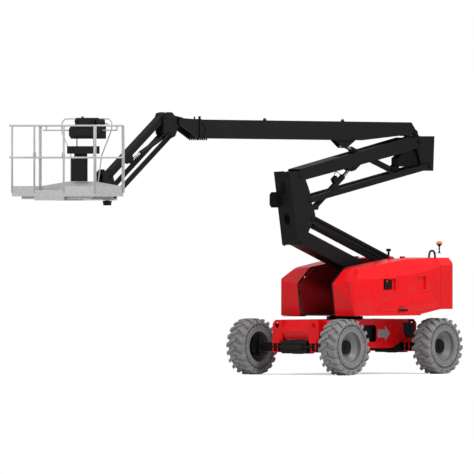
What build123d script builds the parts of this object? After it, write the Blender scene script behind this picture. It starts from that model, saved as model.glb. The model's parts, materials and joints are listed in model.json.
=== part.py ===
from build123d import *
import os
from math import atan2, cos, degrees, hypot, radians, sin

# Articulating boom lift on four steered wheels, in millimetres.
# +X points to the front, where the basket is, +Y to the left and +Z up.
# The origin is the point of the ground under the slewing axis.

# ---------------------------------------------------------------- running gear
AXLE_X = 1233.0
WHEEL_Y = 995.0
TYRE_RADIUS = 470.0
TYRE_HALF_WIDTH = 176.0
TREAD_DEPTH = 38.0
LUGS_PER_SIDE = 20
LUG_THICKNESS = 62.0
LUG_SWEEP = 92.0
LUG_OVERLAP = 10.0
SHOULDER_RADIUS = 396.0
LUG_KNEE_Y = 95.0
LUG_KNEE_SWEEP = 14.0
LUG_ROOT = 8.0
SHOULDER_DROP = 12.0
SHOULDER_ROUND = 26.0
TYRE_BEAD_INSET = 10.0
TYRE_SEAT_RADIUS = 264.0
FLANGE_RADIUS = 306.0
RIM_WALL = 9.0
RIM_HALF_WIDTH = 158.0
RIM_DISH_TOP_Y = 78.0
DISC_Y = 14.0
DISC_THICKNESS = 12.0
DISH_RADIUS = 178.0
HUB_RADIUS = 118.0
HUB_FACE_Y = 62.0
HUB_BEVEL = 14.0
HUB_CAP_RADIUS = 58.0
HUB_CAP_HEIGHT = 16.0
NUT_CIRCLE_RADIUS = 146.0
NUT_COUNT = 10
NUT_RADIUS = 11.0
NUT_HEIGHT = 14.0
RUNNING_CLEARANCE = 0.05
SPINDLE_RADIUS = 44.0
SPINDLE_END_Y = 20.0
DRUM_RADIUS = 160.0
DRUM_INNER_Y = -135.0
DRUM_OUTER_Y = -50.0
KINGPIN_INSET = 195.0
KINGPIN_RADIUS = 20.0
KINGPIN_DEPTH = 40.0
KINGPIN_BOSS_RADIUS = 50.0
KINGPIN_BOSS_HALF = 95.0
KNUCKLE_PLATE = 25.0
KNUCKLE_GAP = 6.0
KNUCKLE_HALF_WIDTH = 55.0
STEERING_ARM_LENGTH = 150.0
STEERING_ARM_HEIGHT = 26.0
AXLE_TUBE_RADIUS = 76.0
AXLE_HOUSING_HALF_LENGTH = 280.0
AXLE_HOUSING_HALF_HEIGHT = 112.0
AXLE_HOUSING_HALF_DEPTH = 118.0
AXLE_HOUSING_CHAMFER = 40.0
DIFFERENTIAL_RADIUS = 120.0
DIFFERENTIAL_LENGTH = 190.0
PINION_RADIUS = 62.0
PINION_LENGTH = 105.0
STEER_CYLINDER_RADIUS = 36.0
STEER_CYLINDER_HALF = 230.0
STEER_ROD_RADIUS = 15.0
STEER_ROD_HALF = 420.0

# --------------------------------------------------------------------- chassis
CHASSIS_HALF_WIDTH = 490.0
CHASSIS_TOP = 920.0
CHASSIS_BELLY = 440.0
CHASSIS_PLATE = 14.0
BELLY_HALF_LENGTH = 640.0
BELLY_SLOPE_X = 840.0
BELLY_SLOPE_Z = 520.0
ARCH_START_X = 1010.0
ARCH_TOP = 605.0
HULL_HALF_LENGTH = 1090.0
HULL_CORNER_Z = 680.0
NOSE_TOP_X = 1232.0
NOSE_KNEE_X = 1300.0
NOSE_KNEE_Z = 735.0
NOSE_FOOT_X = 1245.0
NOSE_HALF_WIDTH = 335.0
EAR_INNER_Y = 285.0
EAR_THICKNESS = 30.0
EAR_BOTTOM = 565.0
EAR_CHAMFER = 60.0
TIE_DOWN_Y = 400.0
TIE_DOWN_Z = 828.0
TIE_DOWN_RADIUS = 46.0
SADDLE_INNER_Y = 350.0
SADDLE_OUTER_Y = 476.0
SADDLE_HALF_DEPTH = 100.0
SADDLE_DROP = 60.0
SADDLE_CLAMP = 16.0
SADDLE_STUD_RADIUS = 10.0
SLEW_OUTER_RADIUS = 305.0
SLEW_BORE_RADIUS = 250.0
SLEW_RING_TOP = 972.0
SLEW_CLEARANCE = 0.3
SIDE_OPENING_REAR = -240.0
SIDE_OPENING_FRONT = 125.0
SIDE_OPENING_LOW = 545.0
SIDE_OPENING_HIGH = 825.0
SIDE_OPENING_RADIUS = 60.0

# ---------------------------------------------------------------------- turret
DECK_BOTTOM = 984.0
DECK_THICKNESS = 26.0
DECK_INSET = 30.0
DECK_SIDE_INSET = 150.0
DECK_WIDE_REAR_X = -960.0
DECK_TAIL_Y = 385.0
BULKHEAD_INNER_Y = 355.0
BULKHEAD_OUTER_Y = 363.0
FOLD_THICKNESS = 6.0
FOLD_WIDTH = 26.0
BULKHEAD_RIB_XS = (-560.0, -130.0, 300.0)
RIB_WIDTH = 34.0
RIB_DEPTH = 14.0
RIB_TOP = 1560.0
COVER_INNER_Y = 369.0
COVER_WALL = 10.0
COVER_FRONT_X = 788.0
COVER_FRONT_FOOT_X = 710.0
COVER_REAR_X = -1190.0
COVER_CORNER_X = 735.0
COVER_CORNER_Y = 790.0
COVER_MIDDLE_X = -150.0
COVER_MIDDLE_Y = 1010.0
COVER_REAR_Y = 1100.0
COVER_BOTTOM = 985.0
COVER_BOTTOM_BREAK_X = -555.0
COVER_REAR_BOTTOM = 1088.0
COVER_CREASE_Z = 1520.0
COVER_BROW_X = 450.0
COVER_BROW_Z = 1787.0
COVER_ROOF_X = -600.0
COVER_ROOF_Z = 1925.0
COVER_TOP = 1948.0
COVER_SHOULDER_DROP = 130.0
COVER_SHOULDER_WIDTH = 130.0
COVER_SHOULDER_TILT = 6.0
COVER_SHOULDER_FAR = 700.0
COVER_SHOULDER_INSET = 1.2
COVER_CORNER_RADIUS = 70.0
COVER_CREASE_RADIUS = 60.0
COVER_BROW_RADIUS = 240.0
POCKET_DEPTH = 40.0
POCKET_WALL = 8.0
# Recesses in the hood's flank, as (rear x, front x, low z, high z).
COVER_POCKETS = (
    (-120.0, 140.0, 1412.0, 1603.0),
    (-820.0, -600.0, 1424.0, 1640.0),
)
SCOOP_DEPTH = 22.0
COVER_SCOOP = (-370.0, -150.0, 1405.0, 1650.0)
# Outline of the low door in the hood's flank, as (x, z).
DOOR_OUTLINE = (
    (285.0, 1060.0), (230.0, 1160.0), (20.0, 1255.0), (-430.0, 1353.0), (-960.0, 1400.0),
    (-1100.0, 1255.0), (-1150.0, 1115.0), (-560.0, 1040.0),
)
SEAM_WIDTH = 7.0
SEAM_DEPTH = 5.0
COVER_HINGE_Y = 376.0
COVER_HINGE_Z = 1960.0
COVER_HINGE_XS = (-800.0, -1125.0)
HINGE_PIN_RADIUS = 6.0
HINGE_EYE_RADIUS = 11.0
HINGE_EYE_LENGTH = 60.0
HINGE_LUG_LENGTH = 20.0
HINGE_GAP = 1.5
TAIL_GAP = 8.0
TAIL_SIDE_X = -1480.0
TAIL_CORNER_Y = 1050.0
TAIL_CORNER_X = -1560.0
TAIL_CENTRE_X = -1700.0
TAIL_SLOT_HALF = 215.0
TAIL_SLOT_END_X = -1615.0
TAIL_EDGE = 45.0
TOWER_HALF_WIDTH = 190.0
TOWER_PLATE = 22.0
ENGINE_LENGTH = 820.0
ENGINE_WIDTH = 400.0
ENGINE_HEIGHT = 520.0
ENGINE_CENTRE_X = -520.0
ENGINE_CENTRE_Y = 640.0
BEACON_X = -1600.0
BEACON_Y = 740.0
BEACON_POLE_RADIUS = 12.0
BEACON_LENS_RADIUS = 50.0
BEACON_LENS_HEIGHT = 50.0
BEACON_TOP = 2222.0
BEACON_LOOP_FRONT_X = -1375.0
BEACON_LOOP_REAR_X = -1535.0
BEACON_LOOP_Y = 700.0
BEACON_LOOP_TOP = 2062.0
BEACON_LOOP_RADIUS = 8.0
BEACON_PLATE_Z = 2020.0
BEACON_PLATE_THICKNESS = 6.0
BEACON_PLATE_HALF = 24.0

# --------------------------------------------------------------- lower riser
LOWER_LENGTH = 2700.0
LOWER_ANGLE = 18.8
LOWER_PIN_X = -1190.0
LOWER_PIN_Z = 1363.0
LOWER_LINK_DX = -316.0
LOWER_LINK_DZ = 385.0
LOWER_ARM_HALF_WIDTH = 135.0
LOWER_ARM_BOTTOM = -30.0
LOWER_ARM_TOP = 220.0
LINK_BAR_INNER_Y = 108.0
LINK_BAR_OUTER_Y = 148.0
LOWER_LINK_HEIGHT = 120.0

# --------------------------------------------------------------- upper riser
UPPER_LENGTH = 3241.0
UPPER_ANGLE = 10.2
KNUCKLE_RISE_X = -2.0
KNUCKLE_RISE_Z = 1093.0
UPPER_LINK_DX = -264.0
UPPER_LINK_DZ = -413.0
UPPER_ARM_HALF_WIDTH = 130.0
UPPER_CHEEK = 25.0
UPPER_ARM_FRONT_HEIGHT = 200.0
UPPER_ARM_REAR_HEIGHT = 240.0
UPPER_SLOT_LENGTH = 2080.0
UPPER_LINK_HEIGHT = 100.0
KNUCKLE_PLATE_INNER_Y = 154.0
KNUCKLE_PLATE_OUTER_Y = 172.0
REAR_EAR_INNER_Y = 72.0
REAR_EAR_OUTER_Y = 100.0
PIN_RADIUS = 32.0
PIN_CAP_RADIUS = 46.0
PIN_CAP = 8.0
EYE_RADIUS = 62.0
LINK_EYE_SHARE = 0.9
NOSE_SHARE = 0.7
TAIL_SHARE = 0.9
CYLINDER_EYE_SHARE = 0.95
CYLINDER_NECK_SHARE = 0.8
CYLINDER_NECK_GAP = 4.0
FORK_SLOPE = 0.4
FORK_WAIST = 0.8
CUP_TAPER = 0.82
POST_CLEARANCE = 1.3

RISER_FOOT_DX = -566.0
RISER_FOOT_DZ = 567.0
RISER_HEAD_DX = -1514.0
RISER_HEAD_DZ = 124.0
LIFT_FOOT_DX = 606.0
LIFT_FOOT_DZ = -480.0
LIFT_HEAD_DX = 1780.0
LIFT_HEAD_DZ = -218.0

# ------------------------------------------------------------------ main boom
BOOM_ANGLE = 0.4
BOOM_PIVOT_DX = 106.0
BOOM_PIVOT_DZ = 140.0
BOOM_HALF_WIDTH = 130.0
BOOM_WALL = 9.0
BOOM_TOP = 178.0
BOOM_BOTTOM = -134.0
BOOM_FRONT = 5660.0
BOOM_TAPER_START = 1410.0
BOOM_ROOT_OPEN = 270.0
BOOM_ROOT_TOP_X = 110.0
INNER_HALF_WIDTH = 110.0
INNER_BOTTOM = -110.0
INNER_TOP = 155.0
INNER_REAR = 1450.0
NOSE_LENGTH = 520.0
NOSE_CHEEK_INNER_Y = 98.0
HEAD_PIN_X = 6050.0
HEAD_PIN_Z = 148.0
HEAD_PLATE_INNER_Y = 68.0
HEAD_PLATE_OUTER_Y = 92.0
WEAR_PAD_GAP = 0.3
WEAR_PAD_LENGTH = 150.0
COLLAR_RISE = 9.0
COLLAR_LENGTH = 42.0
KNOB_RADIUS = 13.0
KNOB_HEIGHT = 48.0
PAD_GAP = 25.0
PAD_LENGTH = 110.0
PAD_WIDTH = 52.0
PAD_EDGE = 28.0
PAD_RISE = 10.0
LIFTING_EYE_XS = (1780.0, 3820.0)
EYE_FOOT = 46.0
EYE_TOP = 20.0
EYE_RISE = 38.0
EYE_PLATE = 7.0

# ------------------------------------------------------------------------ jib
JIB_LENGTH = 1745.0
JIB_ANGLE = -35.0
JIB_PIN_DX = 420.0
JIB_PIN_DZ = 80.0
JIB_LINK_DX = -90.0
JIB_LINK_DZ = -310.0
JIB_ARM_HEIGHT = 107.0
JIB_ARM_HALF_WIDTH = 62.0
JIB_LINK_HEIGHT = 92.0
JIB_LINK_NECK = 150.0
JIB_LINK_NECK_HALF = 30.0
JIB_LINK_NECK_EYE = 36.0
JIB_LINK_INNER_Y = 99.0
JIB_LINK_OUTER_Y = 121.0

JIB_HEAD_ALONG = 1104.0
JIB_HEAD_BELOW = -130.0

# --------------------------------------------------------------------- basket
# The platform and its mount are drawn round this place of the jib arm's end pin, then moved to the pin.
PLATFORM_PIN_X = 6178.4147
PLATFORM_PIN_Z = 3309.3912
ROTATOR_X = 6150.0
ROTATOR_RADIUS = 78.0
ROTATOR_BOTTOM = 2840.0
BASKET_BACK_X = 6800.0
BASKET_DEPTH = 713.0
BASKET_HALF_WIDTH = 892.0
BASKET_FLOOR_Z = 3050.0
BASKET_FLOOR_THICKNESS = 12.0
TOE_BOTTOM = 2990.0
TOE_TOP = 3160.0
MID_RAIL_Z = 3628.0
TOP_RAIL_Z = 4150.0
RAIL_RADIUS = 15.0
POST_RADIUS = 16.5
CORNER_POST_RADIUS = 25.0
GATE_LEFT_Y = 221.0
GATE_RIGHT_Y = -412.0


# ----------------------------------------------------- shared plates and lugs
BORE_REACH = 400.0
ARM_WALL = 9.0
ARM_END_INSET = 50.0
ARM_CHEEK = 150.0
LINK_TIE_RADIUS = 26.0
LINK_TIE_INSET = 360.0
LUG_GAP = 6.0
LUG_PLATE = 18.0
FOOT_LUG_RADIUS = 48.0
FOOT_LUG_REACH = 260.0
CYLINDER_PIN_RADIUS = 24.0
HINGE_LEAF = 8.0
KINGPIN_TRIM = 40.0
OPEN_EYE_ROOM = 3.0
ROD_SHARE = 0.58
PIN_HEAD = 6.0
RISER_ROD_GAP = 45.0
LIFT_ROD_GAP = 50.0
JIB_ROD_GAP = 150.0

TOWER_FRONT_X = -760.0
TOWER_REAR_X = -1440.0
TOWER_WAIST_Z = 1500.0
TOWER_MARGIN = 80.0
TAIL_CORNER = (-1540.0, 1078.0)
TAIL_FLANK_Y = 1000.0
TAIL_FOOT_Y = 380.0

# Outline of the riser knuckle's side plates, from its lower arm pin, top front corner first.
KNUCKLE_OUTLINE = (
    (289.0, 1157.0), (42.0, 1167.0), (-141.0, 1017.0), (-246.0, 817.0), (-271.0, 667.0),
    (-349.0, 557.0), (-388.0, 417.0), (-323.0, 320.0), (-219.0, 167.0), (-193.0, 87.0),
    (14.0, -80.0), (68.0, -63.0),
)
KNUCKLE_FRONT_PLATE = 10.0
KNUCKLE_SLOTS = ((265.0, 465.0), (785.0, 1005.0))
KNUCKLE_SLOT_WIDTH = 115.0
KNUCKLE_SLOT_REACH = 600.0
GUARD_LOW = 560.0
GUARD_HIGH = 820.0
GUARD_REAR = 120.0
GUARD_FRONT = 400.0
GUARD_CHAMFER = 45.0

UPPER_FLANGE_START = 900.0
UPPER_SLOT_HALF = 66.0
UPPER_EYE = 92.0
UPPER_NECK_START = 165.0
UPPER_NECK_END = 290.0
HANGER_REAR = 260.0
HANGER_FRONT = 160.0
# Outline of the rear link's side plates, from its lower pin.
REAR_OUTLINE = (
    (-170.0, 500.0), (240.0, 500.0), (320.0, 590.0), (400.0, 590.0), (400.0, 500.0),
    (330.0, 340.0), (270.0, 200.0), (200.0, 60.0), (130.0, -84.0), (-140.0, -84.0),
)
REAR_WEB_DX = -150.0
REAR_WEB_PLATE = 14.0
REAR_WEB_LOW = -60.0
REAR_WEB_HIGH = 480.0
REAR_BOX_OUTLINE = (
    (770.0, 130.0), (770.0, -12.0), (230.0, -12.0), (230.0, 250.0), (560.0, 250.0),
)
LIFT_LUG_REACH = 150.0
LIFT_LUG_RISE = 120.0
LIFT_EYE_HALF = 34.0
LIFT_RADIUS = 52.0
LIFT_BARREL = 1120.0
LIFT_HANGER_REAR = 280.0
LIFT_HANGER_FRONT = 250.0
RISER_EYE_HALF = 34.0
RISER_RADIUS = 50.0
RISER_BARREL = 900.0
JIB_EYE_HALF = 28.0
JIB_CYLINDER_RADIUS = 38.0
JIB_BARREL = 720.0
JIB_PIN_RADIUS = 24.0
JIB_LUG_RADIUS = 36.0
JIB_HANGER = 70.0
JIB_WALL = 8.0
JIB_SLOT_REAR = 690.0
JIB_SLOT_FRONT = 1250.0
JIB_SLOT_HALF = 46.0
BOOM_ROOT_DEPTH = 38.0
BOOM_ROOT_EYE = 54.0
NOSE_COLLAR = 24.0
NOSE_RISE = 24.0
NOSE_CHEEK_OUTER_Y = 126.0
# Outline of the head link's side plates, from its hinge pin.
HEAD_OUTLINE = (
    (480.0, -200.0), (500.0, 70.0), (470.0, 130.0), (370.0, 148.0), (270.0, 145.0),
    (200.0, 90.0), (0.0, 60.0), (-55.0, 0.0), (-30.0, -50.0), (110.0, -90.0),
    (150.0, -180.0), (190.0, -250.0), (310.0, -290.0), (420.0, -270.0),
)
HEAD_TIE = (250.0, 20.0)
HEAD_TIE_RADIUS = 30.0
FORK_REAR = 80.0
FORK_FRONT = 180.0
FORK_TOP = 125.0
FORK_BASE = 16.0
SWIVEL_GAP = 5.0
SWIVEL_PIN_RADIUS = 40.0
HOLLOW_PIN_RADIUS = 20.0
CARRIER_TOP = 2945.0
CARRIER_THICKNESS = 22.0
CARRIER_REAR_X = 5960.0
CARRIER_REACH = 600.0
CARRIER_HALF_WIDTH = 60.0
BEAM_Y = 740.0
BEAM_INSET = 90.0
STEP_DEPTH = 70.0
STEP_BOTTOM = 2925.0
BEAM_HALF = 25.0
TOE_PLATE = 4.0
RAIL_OVERHANG = 50.0
GATE_SILL_Z = 3095.0
GABLE_HALF_WIDTH = 860.0
GABLE_FLAT_HALF = 300.0
GABLE_TOP = 3235.0
CONSOLE_RIGHT_Y = -75.0
CONSOLE_LEFT_Y = 540.0
CONSOLE_DEPTH = 220.0
CONSOLE_GAP = 0.3
CONSOLE_LOW = 3935.0
CONSOLE_HIGH = 4150.3
CONSOLE_CHAMFER = 55.0
CONSOLE_LID_RIGHT_Y = -20.0
CONSOLE_LID_LEFT_Y = 400.0
CONSOLE_LID_TOP = 4280.0
CONSOLE_LID_DEPTH = 130.0
CONSOLE_LID_CHAMFER = 30.0
TRAY_RIGHT_Y = -200.0
TRAY_LEFT_Y = 400.0
TRAY_LOW = 3690.0
TRAY_HIGH = 3815.0
TRAY_DEPTH = 120.0
TRAY_WALL = 4.0
BOX_RIGHT_Y = -162.0
BOX_LEFT_Y = 153.0
BOX_LOW = 3237.0
BOX_HIGH = 3612.0
BOX_DEPTH = 75.0
BOX_EDGE = 18.0
BOX_LID_GROOVE = 4.0
HAND_RAIL_INSET = 110.0
HAND_RAIL_Z = 4075.0
HAND_RAIL_HALF = 760.0
HAND_RAIL_RADIUS = 12.0
HAND_RAIL_BEND = 60.0
TRAY_LEG_RADIUS = 9.0
SIDE_HOOP_OUTLINE = ((280.0, 3643.0, 0.0), (280.0, 4268.0, 60.0), (560.0, 4165.0, 0.0))
# Outline of the guard hoop round the console, from its right foot over the top, as (y, z, bend radius).
HOOP_OUTLINE = (
    (-252.0, 3162.0, 0.0), (-252.0, 3700.0, 90.0), (-448.0, 4040.0, 120.0),
    (-448.0, 4262.0, 110.0), (627.0, 4262.0, 90.0), (627.0, 4087.0, 90.0), (410.0, 3660.0, 120.0),
    (323.0, 3162.0, 0.0),
)
HOOP_RADIUS = 10.0
HOOP_GAP = 0.3
SLEEVE_WALL = 6.0
SLEEVE_GAP = 0.5
SLEEVE_REST = 0.5
SLEEVE_HEIGHT = 70.0

# ------------------------------------------------------------------- helpers
def block(x_low, x_high, y_low, y_high, z_low, z_high):
    """Box between its two opposite corners."""
    centre = Pos((x_low + x_high) / 2, (y_low + y_high) / 2, (z_low + z_high) / 2)
    return centre * Box(x_high - x_low, y_high - y_low, z_high - z_low)


def slab(outline, y_low, y_high):
    """Plate with an outline of (x, z) points, from y_low to y_high."""
    face = Plane.XZ * make_face(Polyline(*outline, close=True))
    return Pos(0, y_high, 0) * extrude(face, amount=y_high - y_low)


def sheet(outline, z_low, z_high):
    """Plate with an outline of (x, y) points, from z_low to z_high."""
    face = make_face(Polyline(*outline, close=True))
    return Pos(0, 0, z_low) * extrude(face, amount=z_high - z_low)


def drum(x, z, radius, y_low, y_high):
    """Round bar along Y."""
    return Pos(x, (y_low + y_high) / 2, z) * Rot(90, 0, 0) * Cylinder(radius, y_high - y_low)


def post(x, y, radius, z_low, z_high):
    """Round bar along Z."""
    return Pos(x, y, (z_low + z_high) / 2) * Cylinder(radius, z_high - z_low)


def panel(outline, x_low, x_high):
    """Plate with an outline of (y, z) points, from x_low to x_high."""
    face = Plane.YZ * make_face(Polyline(*outline, close=True))
    return Pos(x_low, 0, 0) * extrude(face, amount=x_high - x_low)


def shaft(y, z, radius, x_low, x_high):
    """Round bar along X."""
    return Pos((x_low + x_high) / 2, y, z) * Rot(0, 90, 0) * Cylinder(radius, x_high - x_low)


def turned(profile):
    """Ring or disc turned about Y from a profile of (radius, y) points."""
    return revolve(make_face(Polyline(*profile, close=True)), Axis.Y)


def tube_path(points, radius, bends):
    """Bent tube through the points, with one bend radius at each corner."""
    path = FilletPolyline(*points, radius=bends) if len(points) > 2 else Line(*points)
    section = Plane(origin=path @ 0, z_dir=path % 0) * Circle(radius)
    return sweep(section, path=path)


def pair(solid):
    """The solid and its mirror image across the machine's centre plane."""
    return solid + mirror(solid, about=Plane.XZ)


def reach(start, angle, length):
    """Point at a length and an angle above +X from the start, in the X-Z plane."""
    return (start[0] + length * cos(radians(angle)), start[1] + length * sin(radians(angle)))


def along(start, angle):
    """Place a shape, drawn from the start along +X, at its angle above +X."""
    return Location((start[0], 0, start[1]), (0, -angle, 0))


def heading(start, end):
    """Angle above +X of the line between two (x, z) points."""
    return degrees(atan2(end[1] - start[1], end[0] - start[0]))


def distance(start, end):
    return hypot(end[0] - start[0], end[1] - start[1])


def shifted(point, dx, dz):
    return (point[0] + dx, point[1] + dz)


def capped_pin(place, reach_y):
    """Pin through a joint with a cap at each end."""
    x, z = place
    cap = drum(x, z, PIN_CAP_RADIUS, reach_y, reach_y + PIN_CAP)
    return drum(x, z, PIN_RADIUS, -reach_y, reach_y) + pair(cap)


# ------------------------------------------------------------ pins of the arms
TOWER_ARM_PIN = (LOWER_PIN_X, LOWER_PIN_Z)
TOWER_LINK_PIN = shifted(TOWER_ARM_PIN, LOWER_LINK_DX, LOWER_LINK_DZ)
KNUCKLE_ARM_PIN = reach(TOWER_ARM_PIN, LOWER_ANGLE, LOWER_LENGTH)
KNUCKLE_LINK_PIN = shifted(KNUCKLE_ARM_PIN, LOWER_LINK_DX, LOWER_LINK_DZ)
UPPER_ARM_PIN = shifted(KNUCKLE_ARM_PIN, KNUCKLE_RISE_X, KNUCKLE_RISE_Z)
UPPER_LINK_PIN = shifted(UPPER_ARM_PIN, UPPER_LINK_DX, UPPER_LINK_DZ)
REAR_ARM_PIN = reach(UPPER_ARM_PIN, 180.0 - UPPER_ANGLE, UPPER_LENGTH)
REAR_LINK_PIN = shifted(REAR_ARM_PIN, UPPER_LINK_DX, UPPER_LINK_DZ)
BOOM_PIN = shifted(REAR_ARM_PIN, BOOM_PIVOT_DX, BOOM_PIVOT_DZ)
HEAD_PLACE = (along(BOOM_PIN, BOOM_ANGLE) * Pos(HEAD_PIN_X, 0, HEAD_PIN_Z)).position
HEAD_PIN = (HEAD_PLACE.X, HEAD_PLACE.Z)
JIB_ARM_PIN = shifted(HEAD_PIN, JIB_PIN_DX, JIB_PIN_DZ)
JIB_LINK_PIN = shifted(JIB_ARM_PIN, JIB_LINK_DX, JIB_LINK_DZ)
END_ARM_PIN = reach(JIB_ARM_PIN, JIB_ANGLE, JIB_LENGTH)
END_LINK_PIN = shifted(END_ARM_PIN, JIB_LINK_DX, JIB_LINK_DZ)

RISER_FOOT_PIN = shifted(KNUCKLE_ARM_PIN, RISER_FOOT_DX, RISER_FOOT_DZ)
RISER_HEAD_PIN = shifted(UPPER_ARM_PIN, RISER_HEAD_DX, RISER_HEAD_DZ)
LIFT_FOOT_PIN = shifted(REAR_ARM_PIN, LIFT_FOOT_DX, LIFT_FOOT_DZ)
LIFT_HEAD_PLACE = (along(BOOM_PIN, BOOM_ANGLE) * Pos(LIFT_HEAD_DX, 0, LIFT_HEAD_DZ)).position
LIFT_HEAD_PIN = (LIFT_HEAD_PLACE.X, LIFT_HEAD_PLACE.Z)
JIB_FOOT_PIN = JIB_LINK_PIN
JIB_HEAD_PLACE = (along(JIB_ARM_PIN, JIB_ANGLE) * Pos(JIB_HEAD_ALONG, 0, JIB_HEAD_BELOW)).position
JIB_HEAD_PIN = (JIB_HEAD_PLACE.X, JIB_HEAD_PLACE.Z)


# ------------------------------------------------------------------ the wheels
def tyre_solid():
    """Tyre about the origin with its outer side towards +Y."""
    base = TYRE_RADIUS - TREAD_DEPTH
    bead = RIM_HALF_WIDTH - TYRE_BEAD_INSET
    half = [
        (TYRE_SEAT_RADIUS, bead),
        (FLANGE_RADIUS + TYRE_BEAD_INSET, bead),
        (FLANGE_RADIUS + TYRE_BEAD_INSET, RIM_HALF_WIDTH),
        (SHOULDER_RADIUS, TYRE_HALF_WIDTH - SHOULDER_DROP),
        (base, TYRE_HALF_WIDTH - SHOULDER_DROP - SHOULDER_ROUND),
    ]
    profile = [(r, -y) for r, y in half] + [(r, y) for r, y in reversed(half)]
    body = turned(profile)
    # Each lug is a curved bar that sweeps back from the shoulder to the middle of the tread.
    lugs = []
    for side in (-1, 1):
        for index in range(LUGS_PER_SIDE):
            turn = 360.0 / LUGS_PER_SIDE * (index + (0.5 if side > 0 else 0.0))
            lugs.append(Rot(0, turn, 0) * lug_solid(side))
    return (body + lugs) & drum(0, 0, TYRE_RADIUS, -TYRE_HALF_WIDTH, TYRE_HALF_WIDTH)


def lug_solid(side):
    """One lug on top of the tread, on the side of the given sign."""
    inner = -side * LUG_OVERLAP
    knee = side * LUG_KNEE_Y
    outer = side * TYRE_HALF_WIDTH
    half = LUG_THICKNESS / 2
    outline = [
        (-LUG_SWEEP / 2 - half, inner),
        (-LUG_SWEEP / 2 + half, inner),
        (LUG_KNEE_SWEEP + half, knee),
        (LUG_SWEEP / 2 + half, outer),
        (LUG_SWEEP / 2 - half, outer),
        (LUG_KNEE_SWEEP - half, knee),
    ]
    foot = TYRE_RADIUS - TREAD_DEPTH - LUG_ROOT
    return sheet(outline, foot, TYRE_RADIUS)


def rim_solid():
    """Dished rim and planetary hub about the origin, its outer side towards +Y."""
    flange = RIM_HALF_WIDTH - TYRE_BEAD_INSET
    seat = TYRE_SEAT_RADIUS
    profile = [
        (seat, -flange),
        (FLANGE_RADIUS, -flange),
        (FLANGE_RADIUS, -RIM_HALF_WIDTH),
        (seat - RIM_WALL, -RIM_HALF_WIDTH),
        (seat - RIM_WALL, RIM_DISH_TOP_Y - RIM_WALL),
        (DISH_RADIUS, DISC_Y),
        (SPINDLE_RADIUS + RUNNING_CLEARANCE, DISC_Y),
        (SPINDLE_RADIUS + RUNNING_CLEARANCE, SPINDLE_END_Y + RIM_WALL),
        (0, SPINDLE_END_Y + RIM_WALL),
        (0, HUB_FACE_Y + HUB_CAP_HEIGHT),
        (HUB_CAP_RADIUS, HUB_FACE_Y + HUB_CAP_HEIGHT),
        (HUB_CAP_RADIUS, HUB_FACE_Y),
        (HUB_RADIUS - HUB_BEVEL, HUB_FACE_Y),
        (HUB_RADIUS, HUB_FACE_Y - HUB_BEVEL),
        (HUB_RADIUS, DISC_Y + DISC_THICKNESS),
        (DISH_RADIUS, DISC_Y + DISC_THICKNESS),
        (seat - RIM_WALL, RIM_DISH_TOP_Y + RIM_WALL),
        (seat - RIM_WALL, RIM_HALF_WIDTH),
        (FLANGE_RADIUS, RIM_HALF_WIDTH),
        (FLANGE_RADIUS, flange),
        (seat, flange),
    ]
    rim = turned(profile)
    nut = Rot(90, 0, 0) * extrude(RegularPolygon(NUT_RADIUS, 6), amount=-NUT_HEIGHT)
    nut_seat = Pos(NUT_CIRCLE_RADIUS, DISC_Y + DISC_THICKNESS, 0)
    nuts = [Rot(0, 360.0 / NUT_COUNT * i, 0) * nut_seat * nut for i in range(NUT_COUNT)]
    return rim + nuts


def knuckle_solid():
    """Steering knuckle of a left wheel, about the wheel's centre."""
    top = KINGPIN_BOSS_HALF + KNUCKLE_GAP
    body = drum(0, 0, DRUM_RADIUS, DRUM_INNER_Y, DRUM_OUTER_Y)
    body += drum(0, 0, SPINDLE_RADIUS, DRUM_OUTER_Y, SPINDLE_END_Y)
    half = KNUCKLE_HALF_WIDTH
    for side in (-1, 1):
        low, high = sorted((side * top, side * (top + KNUCKLE_PLATE)))
        plate = block(-half, half, -KINGPIN_INSET, DRUM_INNER_Y + KNUCKLE_PLATE, low, high)
        plate += post(0, -KINGPIN_INSET, half, low, high)
        pin_low, pin_high = sorted((side * top, side * (KINGPIN_BOSS_HALF - KINGPIN_DEPTH)))
        body += plate + post(0, -KINGPIN_INSET, KINGPIN_RADIUS, pin_low, pin_high)
    body += block(-STEERING_ARM_LENGTH, 0, -KINGPIN_INSET - STEERING_ARM_HEIGHT,
                  -KINGPIN_INSET + STEERING_ARM_HEIGHT, -top - KNUCKLE_PLATE, -top)
    return body


# ----------------------------------------------------------------- the chassis
def both_ends(solid):
    """The solid and its mirror image across the middle of the wheelbase."""
    return solid + mirror(solid, about=Plane.YZ)


def mirrored_outline(half):
    """Closed outline from the points of its +X half, listed from the top down."""
    return half + [(-x, z) for x, z in reversed(half)]


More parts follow.
